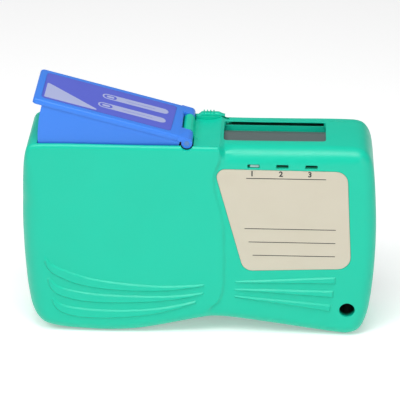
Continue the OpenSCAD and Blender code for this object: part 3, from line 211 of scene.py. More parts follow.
def evenly(line, step):
    far = travelled(line)
    stops = np.linspace(0, far[-1], max(2, round(far[-1] / step)) + 1)
    return np.stack([np.interp(stops, far, line[:, k]) for k in (0, 1)], axis=1)


def rib_lines():
    """Each grip rib's middle line, with its width at shares of its length."""
    for ribs, widths in ((LEFT_RIBS, LEFT_RIB_W), (RIGHT_RIBS, RIGHT_RIB_W)):
        for shares in ribs:
            yield evenly(dense_line(scaled(shares), 12), 0.55), np.array(widths)


def from_rib(xz, line, widths):
    """For each point: its distance outside the rib's foot along the face, negative inside."""
    far = travelled(line)
    gap = xz[:, None, :] - line[None, :, :]
    near = np.argmin((gap ** 2).sum(axis=2), axis=1)
    d = gap[np.arange(len(xz)), near]
    a = heading(line)[near]
    side = np.abs(a[:, 0] * d[:, 1] - a[:, 1] * d[:, 0])
    place = far[near] + a[:, 0] * d[:, 0] + a[:, 1] * d[:, 1]
    half = np.interp(place / far[-1], widths[:, 0], widths[:, 1]) / 2
    return np.maximum(side - half, np.maximum(-place, place - far[-1]))


def rib_rise(xz):
    """Height of the grip ribs over the face: flat bars with short steep flanks."""
    rise = np.zeros(len(xz))
    for line, widths in rib_lines():
        rise = np.maximum(rise, RIB_H * np.clip(-from_rib(xz, line, widths) / RIB_FLANK, 0, 1))
    return rise


# ---- meshes
def new_object(name, verts, faces):
    mesh = bpy.data.meshes.new(name)
    points = [tuple(float(c) * MM for c in v) for v in verts]
    mesh.from_pydata(points, [], [tuple(int(i) for i in f) for f in faces])
    mesh.update()
    return linked(name, mesh)


def linked(name, data):
    """A new object in the scene that shows the given mesh, curve, light or camera."""
    obj = bpy.data.objects.new(name, data)
    bpy.context.scene.collection.objects.link(obj)
    return obj


def evaluated_mesh(obj):
    bpy.context.view_layer.update()
    graph = bpy.context.evaluated_depsgraph_get()
    return bpy.data.meshes.new_from_object(obj.evaluated_get(graph))


def merged(obj):
    """Welds points that coincide and turns all faces outward."""
    bm = bmesh.new()
    bm.from_mesh(obj.data)
    bmesh.ops.remove_doubles(bm, verts=bm.verts, dist=WELD)
    bmesh.ops.recalc_face_normals(bm, faces=bm.faces)
    bm.to_mesh(obj.data)
    bm.free()
    return obj


def apply_modifiers(obj):
    mesh, old = evaluated_mesh(obj), obj.data
    obj.modifiers.clear()
    obj.data = mesh
    bpy.data.meshes.remove(old)
    return obj


def select(*objs):
    bpy.ops.object.select_all(action="DESELECT")
    for o in objs:
        o.select_set(True)
    bpy.context.view_layer.objects.active = objs[0]


def smooth_by_angle(obj, degrees):
    select(obj)
    bpy.ops.object.shade_smooth_by_angle(angle=math.radians(degrees))
    return obj


def boolean(obj, cutters, operation="DIFFERENCE"):
    for cutter in cutters:
        mod = obj.modifiers.new("cut", "BOOLEAN")
        mod.operation = operation
        mod.solver = "EXACT"
        mod.object = cutter
    apply_modifiers(obj)
    for cutter in cutters:
        bpy.data.objects.remove(cutter)
    return obj


def box_piece(name, lo, hi):
    corners = [(x, y, z) for x in (lo[0], hi[0]) for y in (lo[1], hi[1]) for z in (lo[2], hi[2])]
    sides = [(0, 1, 3, 2), (4, 6, 7, 5), (0, 4, 5, 1), (2, 3, 7, 6), (0, 2, 6, 4), (1, 5, 7, 3)]
    return new_object(name, corners, sides)


def on_circle(centre, r, a):
    return (centre[0] + r * math.cos(a), centre[1] + r * math.sin(a))


def bar_along_y(name, x, z, r, y0, y1, sides=48):
    return prism_along(name, [on_circle((x, z), r, 2 * math.pi * i / sides) for i in range(sides)], y0, y1)


def quarter(r, turns):
    """Steps of a rounded edge: how far each lies in from the side, and how far short of the top."""
    return [(r * (1 - math.cos(a)), r * (1 - math.sin(a))) for a in np.linspace(0, math.pi / 2, turns + 1)]


def loft(name, rings):
    """A closed body through rings of as many points each."""
    n = len(rings[0])
    verts = [p for ring in rings for p in ring]
    faces = [tuple(range(n)), tuple(range(len(verts) - 1, len(verts) - n - 1, -1))]
    for k in range(0, len(verts) - n, n):
        faces += [(k + i, k + (i + 1) % n, k + n + (i + 1) % n, k + n + i) for i in range(n)]
    return merged(new_object(name, verts, faces))


def prism_along(name, loop, low, high, axis="y"):
    """A closed loop of points in X and Z (or X and Y) as a prism along the other axis."""
    return loft(name, [[(a, t, b) if axis == "y" else (a, b, t) for a, b in loop] for t in (low, high)])


def rect(x, y):
    """Corners of an oblong between two values in each direction."""
    return [(x[0], y[0]), (x[1], y[0]), (x[1], y[1]), (x[0], y[1])]


def rounded_loop(corners, r, steps):
    """The corners of a polygon rounded with radius r, or with one radius for each corner."""
    out = []
    pts = [np.array(c, float) for c in corners]
    radii = r if isinstance(r, (list, tuple)) else [r] * len(pts)
    for i, (p, r) in enumerate(zip(pts, radii)):
        a = pts[i - 1] - p
        b = pts[(i + 1) % len(pts)] - p
        a /= np.linalg.norm(a)
        b /= np.linalg.norm(b)
        half = math.acos(max(-1, min(1, float(a @ b)))) / 2
        centre = p + (a + b) / np.linalg.norm(a + b) * r / math.sin(half)
        start = p + a * r / math.tan(half) - centre
        end = p + b * r / math.tan(half) - centre
        a0, a1 = math.atan2(start[1], start[0]), math.atan2(end[1], end[0])
        turn = (a1 - a0 + math.pi) % (2 * math.pi) - math.pi
        out += [on_circle(centre, r, a0 + turn * k / steps) for k in range(steps + 1)]
    return out


def joined(name, objs):
    """All the pieces as one object, which is the first of them."""
    select(*objs)
    bpy.ops.object.join()
    objs[0].name = objs[0].data.name = name
    return objs[0]


def rounded_prism(name, corners, r, steps, low, high, axis="y"):
    return prism_along(name, rounded_loop(corners, r, steps), low, high, axis)


# ---- the front shell
def face_mesh(loop, spacing, lines, ribs):
    """Triangles inside a closed loop, with edges along the lines and no grid points on the ribs."""
    n = len(loop)
    points = [Vector((float(x), float(z))) for x, z in loop]
    edges = [(i, (i + 1) % n) for i in range(n)]
    lo, hi = loop.min(axis=0), loop.max(axis=0)
    xs = np.arange(lo[0] + spacing, hi[0], spacing)
    zs = np.arange(lo[1] + spacing, hi[1], spacing)
    grid = np.array([(x + (k % 2) * spacing / 2, z) for k, z in enumerate(zs) for x in xs])
    for line, widths in ribs:
        grid = grid[from_rib(grid, line, widths) > 2 * RIB_RIM]
    margin = spacing * 0.35
    points += [Vector((float(x), float(z))) for x, z in grid[inside_loop(grid, loop, margin)]]
    for line in lines:
        keep = inside_loop(line, loop, margin)
        start = len(points)
        points += [Vector((float(x), float(z))) for x, z in line[keep]]
        place = np.cumsum(keep) - 1
        edges += [(start + int(place[i]), start + int(place[i + 1]))
                  for i in range(len(line) - 1) if keep[i] and keep[i + 1]]
    verts, _, tris, _, _, _ = delaunay_2d_cdt(points, edges, [], 1, 1e-5)
    return np.array([(v.x, v.y) for v in verts]), [tuple(t) for t in tris]


def inside_loop(points, loop, margin):
    """Which points are in a closed loop, and farther from it than the margin."""
    after = np.roll(loop, -1, axis=0)
    odd = np.zeros(len(points), bool)
    near = np.full(len(points), np.inf)
    for a, b in zip(loop, after):
        crosses = (a[1] > points[:, 1]) != (b[1] > points[:, 1])
        with np.errstate(divide="ignore", invalid="ignore"):
            x = a[0] + (points[:, 1] - a[1]) * (b[0] - a[0]) / (b[1] - a[1])
        odd ^= crosses & (points[:, 0] < x)
        d = b - a
        t = np.clip(((points - a) @ d) / (d @ d), 0, 1)
        near = np.minimum(near, np.linalg.norm(points - a - t[:, None] * d, axis=1))
    return odd & (near > margin)


def feature_lines():
    """Lines that the face's mesh needs edges along: the step's, and each rib's foot, flanks and ends."""
    out = [evenly(STEP_CURVE, 0.8) + np.array([u * STEP_W, 0]) for u in np.linspace(-0.5, 0.5, 7)]
    for line, widths in rib_lines():
        far = travelled(line)
        along = heading(line)
        normal = left_of(along)
        half = (np.interp(far / far[-1], widths[:, 0], widths[:, 1]) / 2)[:, None]
        crest = np.maximum(half - RIB_FLANK, 0.06)
        for offset, run in ((half + RIB_RIM, slice(None)), (half, slice(None)), (crest, slice(1, -1))):
            out += [(line + normal * offset * way)[run] for way in (-1, 1)]
        for end, inside, rim in ((0, 1, -RIB_RIM), (-1, -2, RIB_RIM)):
            foot, top = normal[end] * half[end], normal[inside] * crest[inside]
            beyond = line[end] + along[end] * rim
            for middle, reach in ((line[end], foot), (beyond, foot), (line[inside], top)):
                out.append(np.vstack([middle + reach, middle - reach]))
    return out


def shell_cup(name):
    """The moulded cup as one closed mesh: rim, side, edge round and face outside, then the same inside."""
    loop, inward, radii = housing_outline()
    n = len(loop)
    verts, faces = [], []

    def add_ring(xz, y):
        verts.extend((p[0], d, p[1]) for p, d in zip(xz, np.broadcast_to(y, n)))
        return len(verts) - n

    def bridge(a, b, flip):
        for i in range(n):
            j = (i + 1) % n
            quad = (a + i, a + j, b + j, b + i)
            faces.append(quad[::-1] if flip else quad)

    def side(wall, spacing, outside):
        """Rim, side, edge round and face on one side of the wall."""
        r = np.maximum(radii - wall, THUMB_R / 2)
        rim = add_ring(loop + inward * wall, PARTING_Y)
        last = add_ring(loop + inward * wall, PARTING_Y - 0.4)
        bridge(rim, last, not outside)
        for inset, drop in quarter(r, EDGE_TURNS):
            xz = loop + inward * (wall + inset)[:, None]
            ring = add_ring(xz, face_plane(xz) + wall + drop)
            bridge(last, ring, not outside)
            last = ring
        lines, bars = (feature_lines(), list(rib_lines())) if outside else ([], [])
        flat, tris = face_mesh(loop + inward * (wall + r)[:, None], spacing, lines, bars)
        depth = face_plane(flat) + wall - (rib_rise(flat) if outside else 0)
        start = len(verts) - n
        verts.extend((flat[k, 0], depth[k], flat[k, 1]) for k in range(n, len(flat)))
        for t in tris:
            t = tuple(i + (last if i < n else start) for i in t)
            faces.append(t[::-1] if outside else t)
        return rim

    outer = side(0.0, FACE_SPACING, True)
    bridge(side(WALL, FACE_SPACING * 4, False), outer, False)
    return merged(new_object(name, verts, faces))


def build_front_shell():
    """The cup with its openings, the strap's tube, the hinge knuckle and the bosses for the screws."""
    shell = shell_cup("front_shell_skin")
    well_z = TOP_Z - WALL - WELL_DROP
    well = box_piece("well", (WINDOW_X[0] - 1, WINDOW_Y[1], well_z), (WINDOW_X[1] + 1, PARTING_Y, TOP_Z - 1))
    boolean(shell, [well], "UNION")
    valley_z = BODY_H + VALLEY_R - VALLEY_DEPTH
    cutters = [
        rounded_prism("bay", rect(BAY_X, BAY_Y), BAY_R, 2, *BAY_Z, "z"),
        rounded_prism("window", rect(WINDOW_X, WINDOW_Y), WINDOW_R, 5, well_z - OVERLAP, ABOVE_Z, "z"),
        rear_gap("groove", WINDOW_Y[1] - 0.2, PARTING_Y + 0.1),
        bar_along_y("valley", VALLEY_X, valley_z, VALLEY_R, VALLEY_FRONT_Y, PARTING_Y + 0.1, 300),
        bar_along_y("notch", *PIVOT, KNUCKLE_R + 0.3, IN_FRONT_Y, BAY_Y[0] + 1),
        bar_along_y("strap", *STRAP, STRAP_R, IN_FRONT_Y, BEHIND_Y),
        rounded_prism("label_seat", scaled(LABEL), LABEL_R, 6, LABEL_Y - 3, LABEL_Y + 0.3),
    ]
    for i in range(3):
        x = INDEX_X + INDEX_PITCH * i
        cutters.append(rounded_prism("slot", rect((x, x + INDEX_L), INDEX_Z), INDEX_R, 3, IN_FRONT_Y, -8))
    boolean(shell, cutters)
    tube = bar_along_y("tube", *STRAP, STRAP_R + TUBE_WALL, LABEL_Y + 1, PARTING_Y)
    extras = [tube, knuckle_piece()]
    boolean(tube, [bar_along_y("bore", *STRAP, STRAP_R, IN_FRONT_Y, BEHIND_Y)])
    extras += [bar_along_y("boss", x, z, BOSS_R, LABEL_Y + 1, BOSS_END_Y) for x, z in SCREWS]
    return smooth_by_angle(joined("front_shell_skin", [shell] + extras), 38)


def rear_gap(name, y0, y1):
    """The narrow gap under the lip behind the window, which the shutter's rear edge turns into."""
    return box_piece(name, (WINDOW_X[0] + GAP_END, y0, GAP_Z[0]), (WINDOW_X[1] - GAP_END, y1, GAP_Z[1]))


def knuckle_piece():
    """The housing's hinge knuckle, bored for the pin, with a web that runs down into the dip beside it."""
    x, z = PIVOT
    loop = [on_circle(PIVOT, KNUCKLE_R, a) for a in np.linspace(0, math.pi, 25)]
    loop += [(x - KNUCKLE_R, WEB_Z), (BAY_X[1] + WALL, WEB_Z)]
    loop += [(BAY_X[1] + WALL, z - 1.95), (x + KNUCKLE_R + 0.6, z - 1.3)]
    knuckle = prism_along("knuckle", loop, *HOUSING_KNUCKLE_Y)
    return boolean(knuckle, [bar_along_y("pin_bore", x, z, PIN_BORE_R, -8, 10, 32)])


# ---- the rear cover
LIP_IN, LIP_T, LIP_END_Y = WALL + 0.2, 0.8, PARTING_Y - 1.4
# Rooms in the cover, each by its two corners: the latch's slot, the latch's foot and the window's well
COVER_ROOMS = (
    ((-0.2, 12.5, 75.0), (10.3, 15.1, ABOVE_Z)),
    ((-1.2, 9.6, 74.1), (11.3, 14.0, 76.0)),
    ((7.5, 9.6, 71.43), (47.5, 12.1, 74.83)),
)


def build_rear_cover():
    """The tray with its lip, as rings from the back's edge round to the lip and in to the inner back."""
    loop, inward, _ = housing_outline()
    rings = [(inset, REAR_Y - drop) for inset, drop in quarter(REAR_R, 6)[::-1]]
    rings += [(0, COVER_Y0), (LIP_IN, COVER_Y0), (LIP_IN, LIP_END_Y)]
    rings += [(LIP_IN + LIP_T, LIP_END_Y), (LIP_IN + LIP_T, REAR_Y - WALL)]
    cover = loft("rear_cover_skin", [[(p[0], y, p[1]) for p in loop + inward * inset] for inset, y in rings])
    cutters = [
        box_piece("bay", *zip(BAY_X, BAY_Y, BAY_Z)),
        *(box_piece("room", *room) for room in COVER_ROOMS),
        rear_gap("gap", COVER_Y0 - 1, GAP_REAR_Y),
        bar_along_y("strap", *STRAP, STRAP_R, 8, 20),
    ]
    return smooth_by_angle(boolean(cover, cutters), 32)


# ---- the lever
LEVER_L, LIP_L, LEVER_DROP = 57.6, 3.5, 16.4
LEVER_Y = (-13.9, 13.9)
LEVER_TOP, LEVER_PLATE, SKIRT_T = 2.1, 2.0, 1.6
LEVER_SWING = 15.0
LEVER_LABEL_IN, LEVER_LABEL_T = 2.6, 0.3
LEVER_LABEL_X = (-LEVER_L + LEVER_LABEL_IN, -KNUCKLE_R - LEVER_LABEL_IN)
LEVER_LABEL_Y = (LEVER_Y[0] + LEVER_LABEL_IN, LEVER_Y[1] - LEVER_LABEL_IN)
# How far the label's hinge end falls short at its front corner and at its rear corner
LEVER_LABEL_SHORT = (2.1, 0.8)
SKIRT_INSET = 0.25
LEVER_CORNER, LEVER_EDGE, KNUCKLE_GAP = 1.6, 0.8, 0.3
# The nose that pushes the slider: its way from the pin, its angle below the lever's top, and its post
PUSH_L, PUSH_ANGLE, PUSH_Y, NOSE_R, POST_HALF = 20.84, 7.5, (-3.9, 0.6), 1.5, 1.2
LEVER_RIB = ((-20, -8.0, -5), (-8, -6.4, LEVER_TOP - LEVER_PLATE + 1))


def lever_frame():
    """Places a point given on the pressed lever onto the raised lever."""
    pin = Matrix.Translation((PIVOT[0] * MM, 0, PIVOT[1] * MM))
    return pin @ Matrix.Rotation(math.radians(LEVER_SWING), 4, "Y")


def on_lever(obj):
    """Turns a piece drawn on the pressed lever, about the hinge pin, up to where the lever rests."""
    obj.data.transform(lever_frame())
    return obj


def pillow(name, loop, z0, z1, edge, turns=4):
    """A plate with a rounded upper edge: the loop in X and Y, drawn in along its corners' bisectors."""
    loop = np.array(loop)
    inward = left_of(heading(loop, closed=True))
    rings = [(0.0, z0)] + [(inset, z1 - drop) for inset, drop in quarter(edge, turns)]
    return loft(name, [[(p[0], p[1], z) for p in loop + inward * inset] for inset, z in rings])


def skirt_loop(r, top):
    """Side view of the skirt, seen from the front: its end is an arc about the hinge pin."""
    toe = -KNUCKLE_R - 0.6
    end = math.asin(LEVER_DROP / (LEVER_L - LIP_L))
    arc = [on_circle((0, 0), -r, a) for a in np.linspace(0, end, 13)]
    return [(toe, top), (-r, top)] + arc + [(toe, -KNUCKLE_R)]


def build_lever():
    """The lever, drawn pressed with its top level and then turned up about the pin."""
    under = LEVER_TOP - LEVER_PLATE
    r = LEVER_L - LIP_L
    y0, y1 = LEVER_Y
    outline = rounded_loop(rect((-LEVER_L, -KNUCKLE_R - 0.5), LEVER_Y), LEVER_CORNER, 6)
    plate = pillow("plate", outline, under, LEVER_TOP, LEVER_EDGE)
    skirt = prism_along("skirt", skirt_loop(r, under + 0.4), y0 + SKIRT_INSET, y1 - SKIRT_INSET)
    in_y0, in_y1, in_top = y0 + SKIRT_T, y1 - SKIRT_T, under - OVERLAP
    hollow = prism_along("hollow", skirt_loop(r - SKIRT_T, in_top), in_y0, in_y1)
    open_end = box_piece("open_end", (-r + 3 * SKIRT_T, in_y0, -LEVER_DROP - 1), (1, in_y1, in_top))
    parts = [boolean(skirt, [hollow, open_end])]
    web_x = -KNUCKLE_R - 1.6
    web = [(web_x, 0.0), (0.0, 0.0), (0.0, KNUCKLE_R - 2 * OVERLAP), (web_x, LEVER_TOP - 2 * OVERLAP)]
    knuckles = (y0, HOUSING_KNUCKLE_Y[0] - KNUCKLE_GAP), (HOUSING_KNUCKLE_Y[1] + KNUCKLE_GAP, y1)
    for k, (a, b) in enumerate(knuckles):
        parts.append(bar_along_y(f"knuckle_{k}", 0, 0, KNUCKLE_R, a, b))
        parts.append(prism_along(f"web_{k}", web, a + OVERLAP, b - OVERLAP))
    x, z = on_circle((0, 0), -PUSH_L, math.radians(PUSH_ANGLE))
    parts.append(box_piece("rib", *LEVER_RIB))
    parts.append(box_piece("post", (x - POST_HALF, PUSH_Y[0], z), (x + POST_HALF, PUSH_Y[1], under + 1)))
    parts.append(bar_along_y("nose", x, z, NOSE_R, *PUSH_Y, 32))
    boolean(plate, parts, "UNION")
    seat = lever_label_corners(0.0)
    boolean(plate, [
        rounded_prism("label_seat", seat, 1.5, 6, LEVER_TOP - LEVER_LABEL_T, LEVER_TOP + 1, "z"),
        bar_along_y("pin_bore", 0, 0, PIN_BORE_R - 0.05, y0 - 1, y1 + 1, 32),
    ])
    plate.name = plate.data.name = "lever_skin"
    return smooth_by_angle(on_lever(soften_edges(plate, 0.3)), 32)


def lever_label_corners(gap):
    """The lever label's corners, drawn in by a gap. Its hinge end slants."""
    (x0, x1), (y0, y1) = LEVER_LABEL_X, LEVER_LABEL_Y
    near, far = (x1 - short - gap for short in LEVER_LABEL_SHORT)
    return [(x0 + gap, y0 + gap), (near, y0 + gap), (far, y1 - gap), (x0 + gap, y1 - gap)]


def soften_edges(obj, width, segments=3, degrees=40.0):
    """Rounds the long edges only, so that short ones can't hold the width down."""
    bm = bmesh.new()
    bm.from_mesh(obj.data)
    bmesh.ops.remove_doubles(bm, verts=bm.verts, dist=2e-6)
    bmesh.ops.dissolve_limit(bm, angle_limit=math.radians(1.0), verts=bm.verts, edges=bm.edges)
    layer = bm.edges.layers.float.new("bevel_weight_edge")
    for e in bm.edges:
        sharp = e.is_manifold and e.calc_face_angle(0) > math.radians(degrees)
        e[layer] = 1.0 if sharp and e.calc_length() > 3 * width * MM else 0.0
    bm.to_mesh(obj.data)
    bm.free()
    mod = obj.modifiers.new("soft", "BEVEL")
    mod.width = width * MM
    mod.segments = segments
    mod.limit_method = "WEIGHT"
    mod.use_clamp_overlap = True
    return apply_modifiers(obj)


# ---- trees for what repeats or is wound
TAPE_Y = (-3.6, 8.4)
TAPE_MID_Y, TAPE_W = sum(TAPE_Y) / 2, TAPE_Y[1] - TAPE_Y[0]
TAPE_T = 0.25
HUB_R, USED_R, FRESH_R = 6.0, 11.0, 16.0
TAKEUP, SUPPLY = (-28.0, 28.7), (33.0, 26.0)
ROLLER_X, ROLLER_Z, WRAP_R = (7.25, 42.3), 48.53, 2.6
TAKEUP_TOUCH, SUPPLY_TOUCH = math.radians(-48.44), math.radians(11.34)
RUN_X, RUN_Z = (9.975, 45.025), 69.113
PAD_X, PAD_Y, PAD_Z, PAD_CORNER, PAD_EDGE = (10.2, 44.8), (-3.2, 8.0), (66.49, 68.88), 1.0, 0.75
LATCH_X, LATCH_Y, LATCH_H, LATCH_FOOT_Z = (-1.0, 8.8), (12.6, 15.0), 1.1, 78.03
LATCH_NECK = ((0.1, 13.0, 74.4), (7.5, 14.6, LATCH_FOOT_Z + 0.5))
# The latch's ridges: how many, their pitch, how far the first is from the middle, and their height along Y
RIDGES, RIDGE_PITCH, RIDGE_START = 4, 1.2, 2.9
RIDGE_RISE = ((12.75, 0.1), (12.95, 0.56), (14.65, 0.56), (14.85, 0.1))
CHASSIS_Y1 = -10.7
# Radius and height of a screw over the chassis, from its crown to its tip, and half the size of its cross
SCREW = (
    (1.1, 1.34), (1.8, 1.05), (2.15, 0.55), (2.2, 0.12), (2.1, 0.0), (1.2, 0.0), (1.2, -2.4), (0.6, -2.9),
)
CROSS_L, CROSS_W, CROSS_FLOOR = 1.25, 0.24, 0.55


def feed(tree, node, inputs):
    """Links or sets a node's inputs by name or number. A node as a value stands for its first output."""
    for key, value in inputs.items():
        if isinstance(value, bpy.types.Node):
            value = value.outputs[0]
        if isinstance(value, bpy.types.NodeSocket):
            tree.links.new(value, node.inputs[key])
        else:
            node.inputs[key].default_value = value


def add(tree, kind, inputs=None, **settings):
    """Adds a node with its settings and inputs."""
    node = tree.nodes.new(kind)
    for key, value in settings.items():
        setattr(node, key, value)
    feed(tree, node, inputs or {})
    return node


def new_tree(name, sockets):
    """A tree with the named inputs and one geometry output; gives the tree and its inputs' sockets."""
    tree = bpy.data.node_groups.new(name, "GeometryNodeTree")
    tree.interface.new_socket("Geometry", in_out="INPUT", socket_type="NodeSocketGeometry")
    for label, kind in sockets:
        tree.interface.new_socket(label, in_out="INPUT", socket_type="NodeSocket" + kind)
    tree.interface.new_socket("Geometry", in_out="OUTPUT", socket_type="NodeSocketGeometry")
    return tree, add(tree, "NodeGroupInput").outputs


def close_tree(tree, geometry, material):
    real = add(tree, "GeometryNodeRealizeInstances", {"Geometry": geometry})
    done = add(tree, "GeometryNodeSetMaterial", {"Geometry": real, "Material": material})
    add(tree, "NodeGroupOutput", {"Geometry": done})
    return tree


def winding_tree():
    """A strip or wire in a spiral: a roll of tape turned to lie along Y, or a coil spring along Z."""
    tree, given = new_tree("winding", (
        ("Turns", "Float"), ("Steps a turn", "Int"), ("Start radius", "Float"), ("End radius", "Float"),
        ("Rise", "Float"), ("Strip thickness", "Float"), ("Strip width", "Float"), ("Round", "Bool"),
        ("Turn to Y", "Vector"), ("Place", "Vector"), ("Material", "Material"),
    ))
    line = add(tree, "GeometryNodeCurveSpiral", {
        "Resolution": given["Steps a turn"], "Rotations": given["Turns"],
        "Start Radius": given["Start radius"], "End Radius": given["End radius"], "Height": given["Rise"]})
    strip = add(tree, "GeometryNodeCurvePrimitiveQuadrilateral", {
        "Width": given["Strip thickness"], "Height": given["Strip width"]})
    half = add(tree, "ShaderNodeMath", {0: given["Strip thickness"], 1: 0.5}, operation="MULTIPLY")
    wire = add(tree, "GeometryNodeCurvePrimitiveCircle", {"Resolution": 10, "Radius": half})
    profile = add(tree, "GeometryNodeSwitch", {
        "Switch": given["Round"], "False": strip, "True": wire}, input_type="GEOMETRY")
    upright = add(tree, "GeometryNodeSetCurveNormal", {"Curve": line}, mode="Z_UP")
    body = add(tree, "GeometryNodeCurveToMesh", {
        "Curve": upright, "Profile Curve": profile, "Fill Caps": True})
    placed = add(tree, "GeometryNodeTransform", {
        "Geometry": body, "Rotation": given["Turn to Y"], "Translation": given["Place"]})
    return close_tree(tree, placed, given["Material"])


def copies_tree(name, sockets=()):
    """Copies of one small piece at points: along a straight row, or where the tree's own mesh has them."""
    tree, given = new_tree(name, (("Piece", "Object"), ("Material", "Material"), *sockets))
    spots = given["Geometry"]
    if sockets:
        spots = add(tree, "GeometryNodeMeshLine", {
            "Count": given["Count"], "Start Location": given["Start"], "Offset": given["Pitch"]})
    piece = add(tree, "GeometryNodeObjectInfo", {"Object": given["Piece"]})
    copies = add(tree, "GeometryNodeInstanceOnPoints", {
        "Points": spots, "Instance": piece.outputs["Geometry"]})
    return close_tree(tree, copies, given["Material"])


ROW = (("Count", "Int"), ("Start", "Vector"), ("Pitch", "Vector"))


def grown(name, tree, values, spots=()):
    """Runs a tree with the given inputs and turns its result into a plain mesh."""
    obj = new_object(name, spots, [])
    mod = obj.modifiers.new("grow", "NODES")
    mod.node_group = tree
    for item in tree.interface.items_tree:
        if item.in_out == "INPUT" and item.name in values:
            mod[item.identifier] = values[item.name]
    apply_modifiers(obj)
    if "Piece" in values:
        bpy.data.objects.remove(values["Piece"])
    return obj


def wound(name, tree, radii, rise, strip, turns, steps, turn, place_mm, material, is_round=False):
    """A roll or a spring: its first and last radius, its rise and its strip's two sides in millimetres."""
    obj = grown(name, tree, {
        "Turns": float(turns), "Steps a turn": steps, "Start radius": radii[0] * MM,
        "End radius": radii[1] * MM, "Rise": rise * MM, "Strip thickness": strip[0] * MM,
        "Strip width": strip[1] * MM, "Round": is_round, "Turn to Y": (turn, 0.0, 0.0),
        "Place": tuple(v * MM for v in place_mm), "Material": material})
    return merged(obj)


def wound_roll(name, tree, centre, outer_r, turns, material):
    """Tape wound on a hub as one strip; its real layers are 0.25 mm, drawn coarser so that they show."""
    pitch = (outer_r - HUB_R) / turns
    radii, middle = (HUB_R + pitch / 2, outer_r - pitch / 2), (centre[0], TAPE_MID_Y, centre[1])
    return smooth_by_angle(wound(name, tree, radii, 0.0, (pitch * 0.93, TAPE_W), turns, 56, math.pi / 2,
                                 middle, material), 35)


def coil_spring(name, tree, x, y, z0, z1, r, wire, turns, material):
    """A spring that stands on Z = z0, r being its outer radius and wire the wire's thickness."""
    radii, foot = (r - wire / 2, r - wire / 2), (x, y, z0 + wire / 2)
    return smooth_by_angle(wound(name, tree, radii, z1 - z0 - wire, (wire, wire), turns, 36, 0.0, foot,
                                 material, is_round=True), 60)


# ---- the tape, its pad, the latch and the screws
def tape_path():
    """Middle of the tape: off the full roll, round a roller, over the pad, round the other, onto its roll."""
    wrap, lift, bend = WRAP_R + TAPE_T / 2, TAPE_T / 2 + 0.15, 0.9
    left, right = ((x, ROLLER_Z) for x in ROLLER_X)
    path = [on_circle(SUPPLY, FRESH_R + lift, SUPPLY_TOUCH)]
    path += [on_circle(right, wrap, a) for a in np.linspace(SUPPLY_TOUCH, 0, 5)]
    for x, a0 in ((RUN_X[1] - bend, 0), (RUN_X[0] + bend, math.pi / 2)):
        path += [on_circle((x, RUN_Z - bend), bend, a) for a in np.linspace(a0, a0 + math.pi / 2, 7)]
    path += [on_circle(left, wrap, a) for a in np.linspace(0, TAKEUP_TOUCH, 9)]
    path.append(on_circle(TAKEUP, USED_R + lift, TAKEUP_TOUCH))
    return evenly(np.array(path), 0.5)


def build_tape(material):
    """The free run of the tape, thinner along its two edges as woven tape is."""
    path = tape_path()
    rings = []
    for p, n in zip(path, -left_of(heading(path))):
        ring = []
        for way in (1, -1):
            for u in np.linspace(-way, way, 9):
                lift = way * TAPE_T / 2 * (0.9 if abs(u) < 0.9 else 0.55)
                ring.append((p[0] + n[0] * lift, TAPE_MID_Y + u * TAPE_W / 2, p[1] + n[1] * lift))
        rings.append(ring)
    tape = smooth_by_angle(loft("cleaning_tape_cloth", rings), 50)
    place(tape, "housing", "tape", material)
    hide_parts("cleaning_tape")
    travelled(path)[-1] * MM


def build_pad(material):
    loop = rounded_loop(rect(PAD_X, PAD_Y), PAD_CORNER, 5)
    pad = smooth_by_angle(pillow("cleaning_pad_skin", loop, *PAD_Z, PAD_EDGE, 5), 50)
    place(pad, "housing", "pad_rubber", material)
    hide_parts("cleaning_pad")


def latch_height(x):
    """Height of the mound: a short rise on the left and a longer slope on the right."""
    return LATCH_H * float(smooth((x - LATCH_X[0]) / 1.5 + 0.12) * smooth((LATCH_X[1] - x) / 2.6))


def build_latch(tree, material):
    """A low mound that slopes off to the right, with four fine ridges across it and its neck in the slot."""
    rings = []
    for x in np.linspace(*LATCH_X, 41):
        h = max(latch_height(x), 0.06)
        r = min(0.55, 0.9 * h)
        half = [(0, 0)] + [(inset, h - drop) for inset, drop in quarter(r, 6)]
        ring = [(LATCH_Y[0] + y, z) for y, z in half] + [(LATCH_Y[1] - y, z) for y, z in half[::-1]]
        rings.append([(x, y, LATCH_FOOT_Z + z) for y, z in ring])
    mound = loft("cover_latch_skin", rings)
    ridge = loft("ridge", [[(x, y, z) for x, z in
                            ((-0.36, -0.3), (0.36, -0.3), (0.3, 0.0), (0.14, h), (-0.14, h), (-0.3, 0.0))]
                           for y, h in RIDGE_RISE])
    start = ((sum(LATCH_X) / 2 - RIDGE_START) * MM, 0.0, (LATCH_FOOT_Z + LATCH_H) * MM)
    ridges = grown("ridges", tree, {
        "Piece": ridge, "Count": RIDGES, "Start": start, "Pitch": (RIDGE_PITCH * MM, 0.0, 0.0),
        "Material": material})
    latch = joined("cover_latch_skin", [mound, ridges, box_piece("neck", *LATCH_NECK)])
    place(smooth_by_angle(latch, 40), "latch", "teal_shell", material)
    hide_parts("cover_latch")


def build_screws(tree, material):
    """Pan-head screws with a cross recess, which hold the chassis to the bosses behind the face."""
    turn = [on_circle((0, 0), 1, a) for a in np.linspace(0, 2 * math.pi, 28, endpoint=False)]
    head = loft("screw", [[(r * a, y, r * b) for a, b in turn] for r, y in SCREW])
    boolean(head, [box_piece("cross", (-w, CROSS_FLOOR, -h), (w, 2.0, h))
                   for w, h in ((CROSS_L, CROSS_W), (CROSS_W, CROSS_L))])
    smooth_by_angle(head, 35)
    screws = grown("chassis_screw_heads", tree, {"Piece": head, "Material": material},
                   [(x, CHASSIS_Y1, z) for x, z in SCREWS])
    place(screws, "housing", "steel", material)
    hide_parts("chassis_screws")


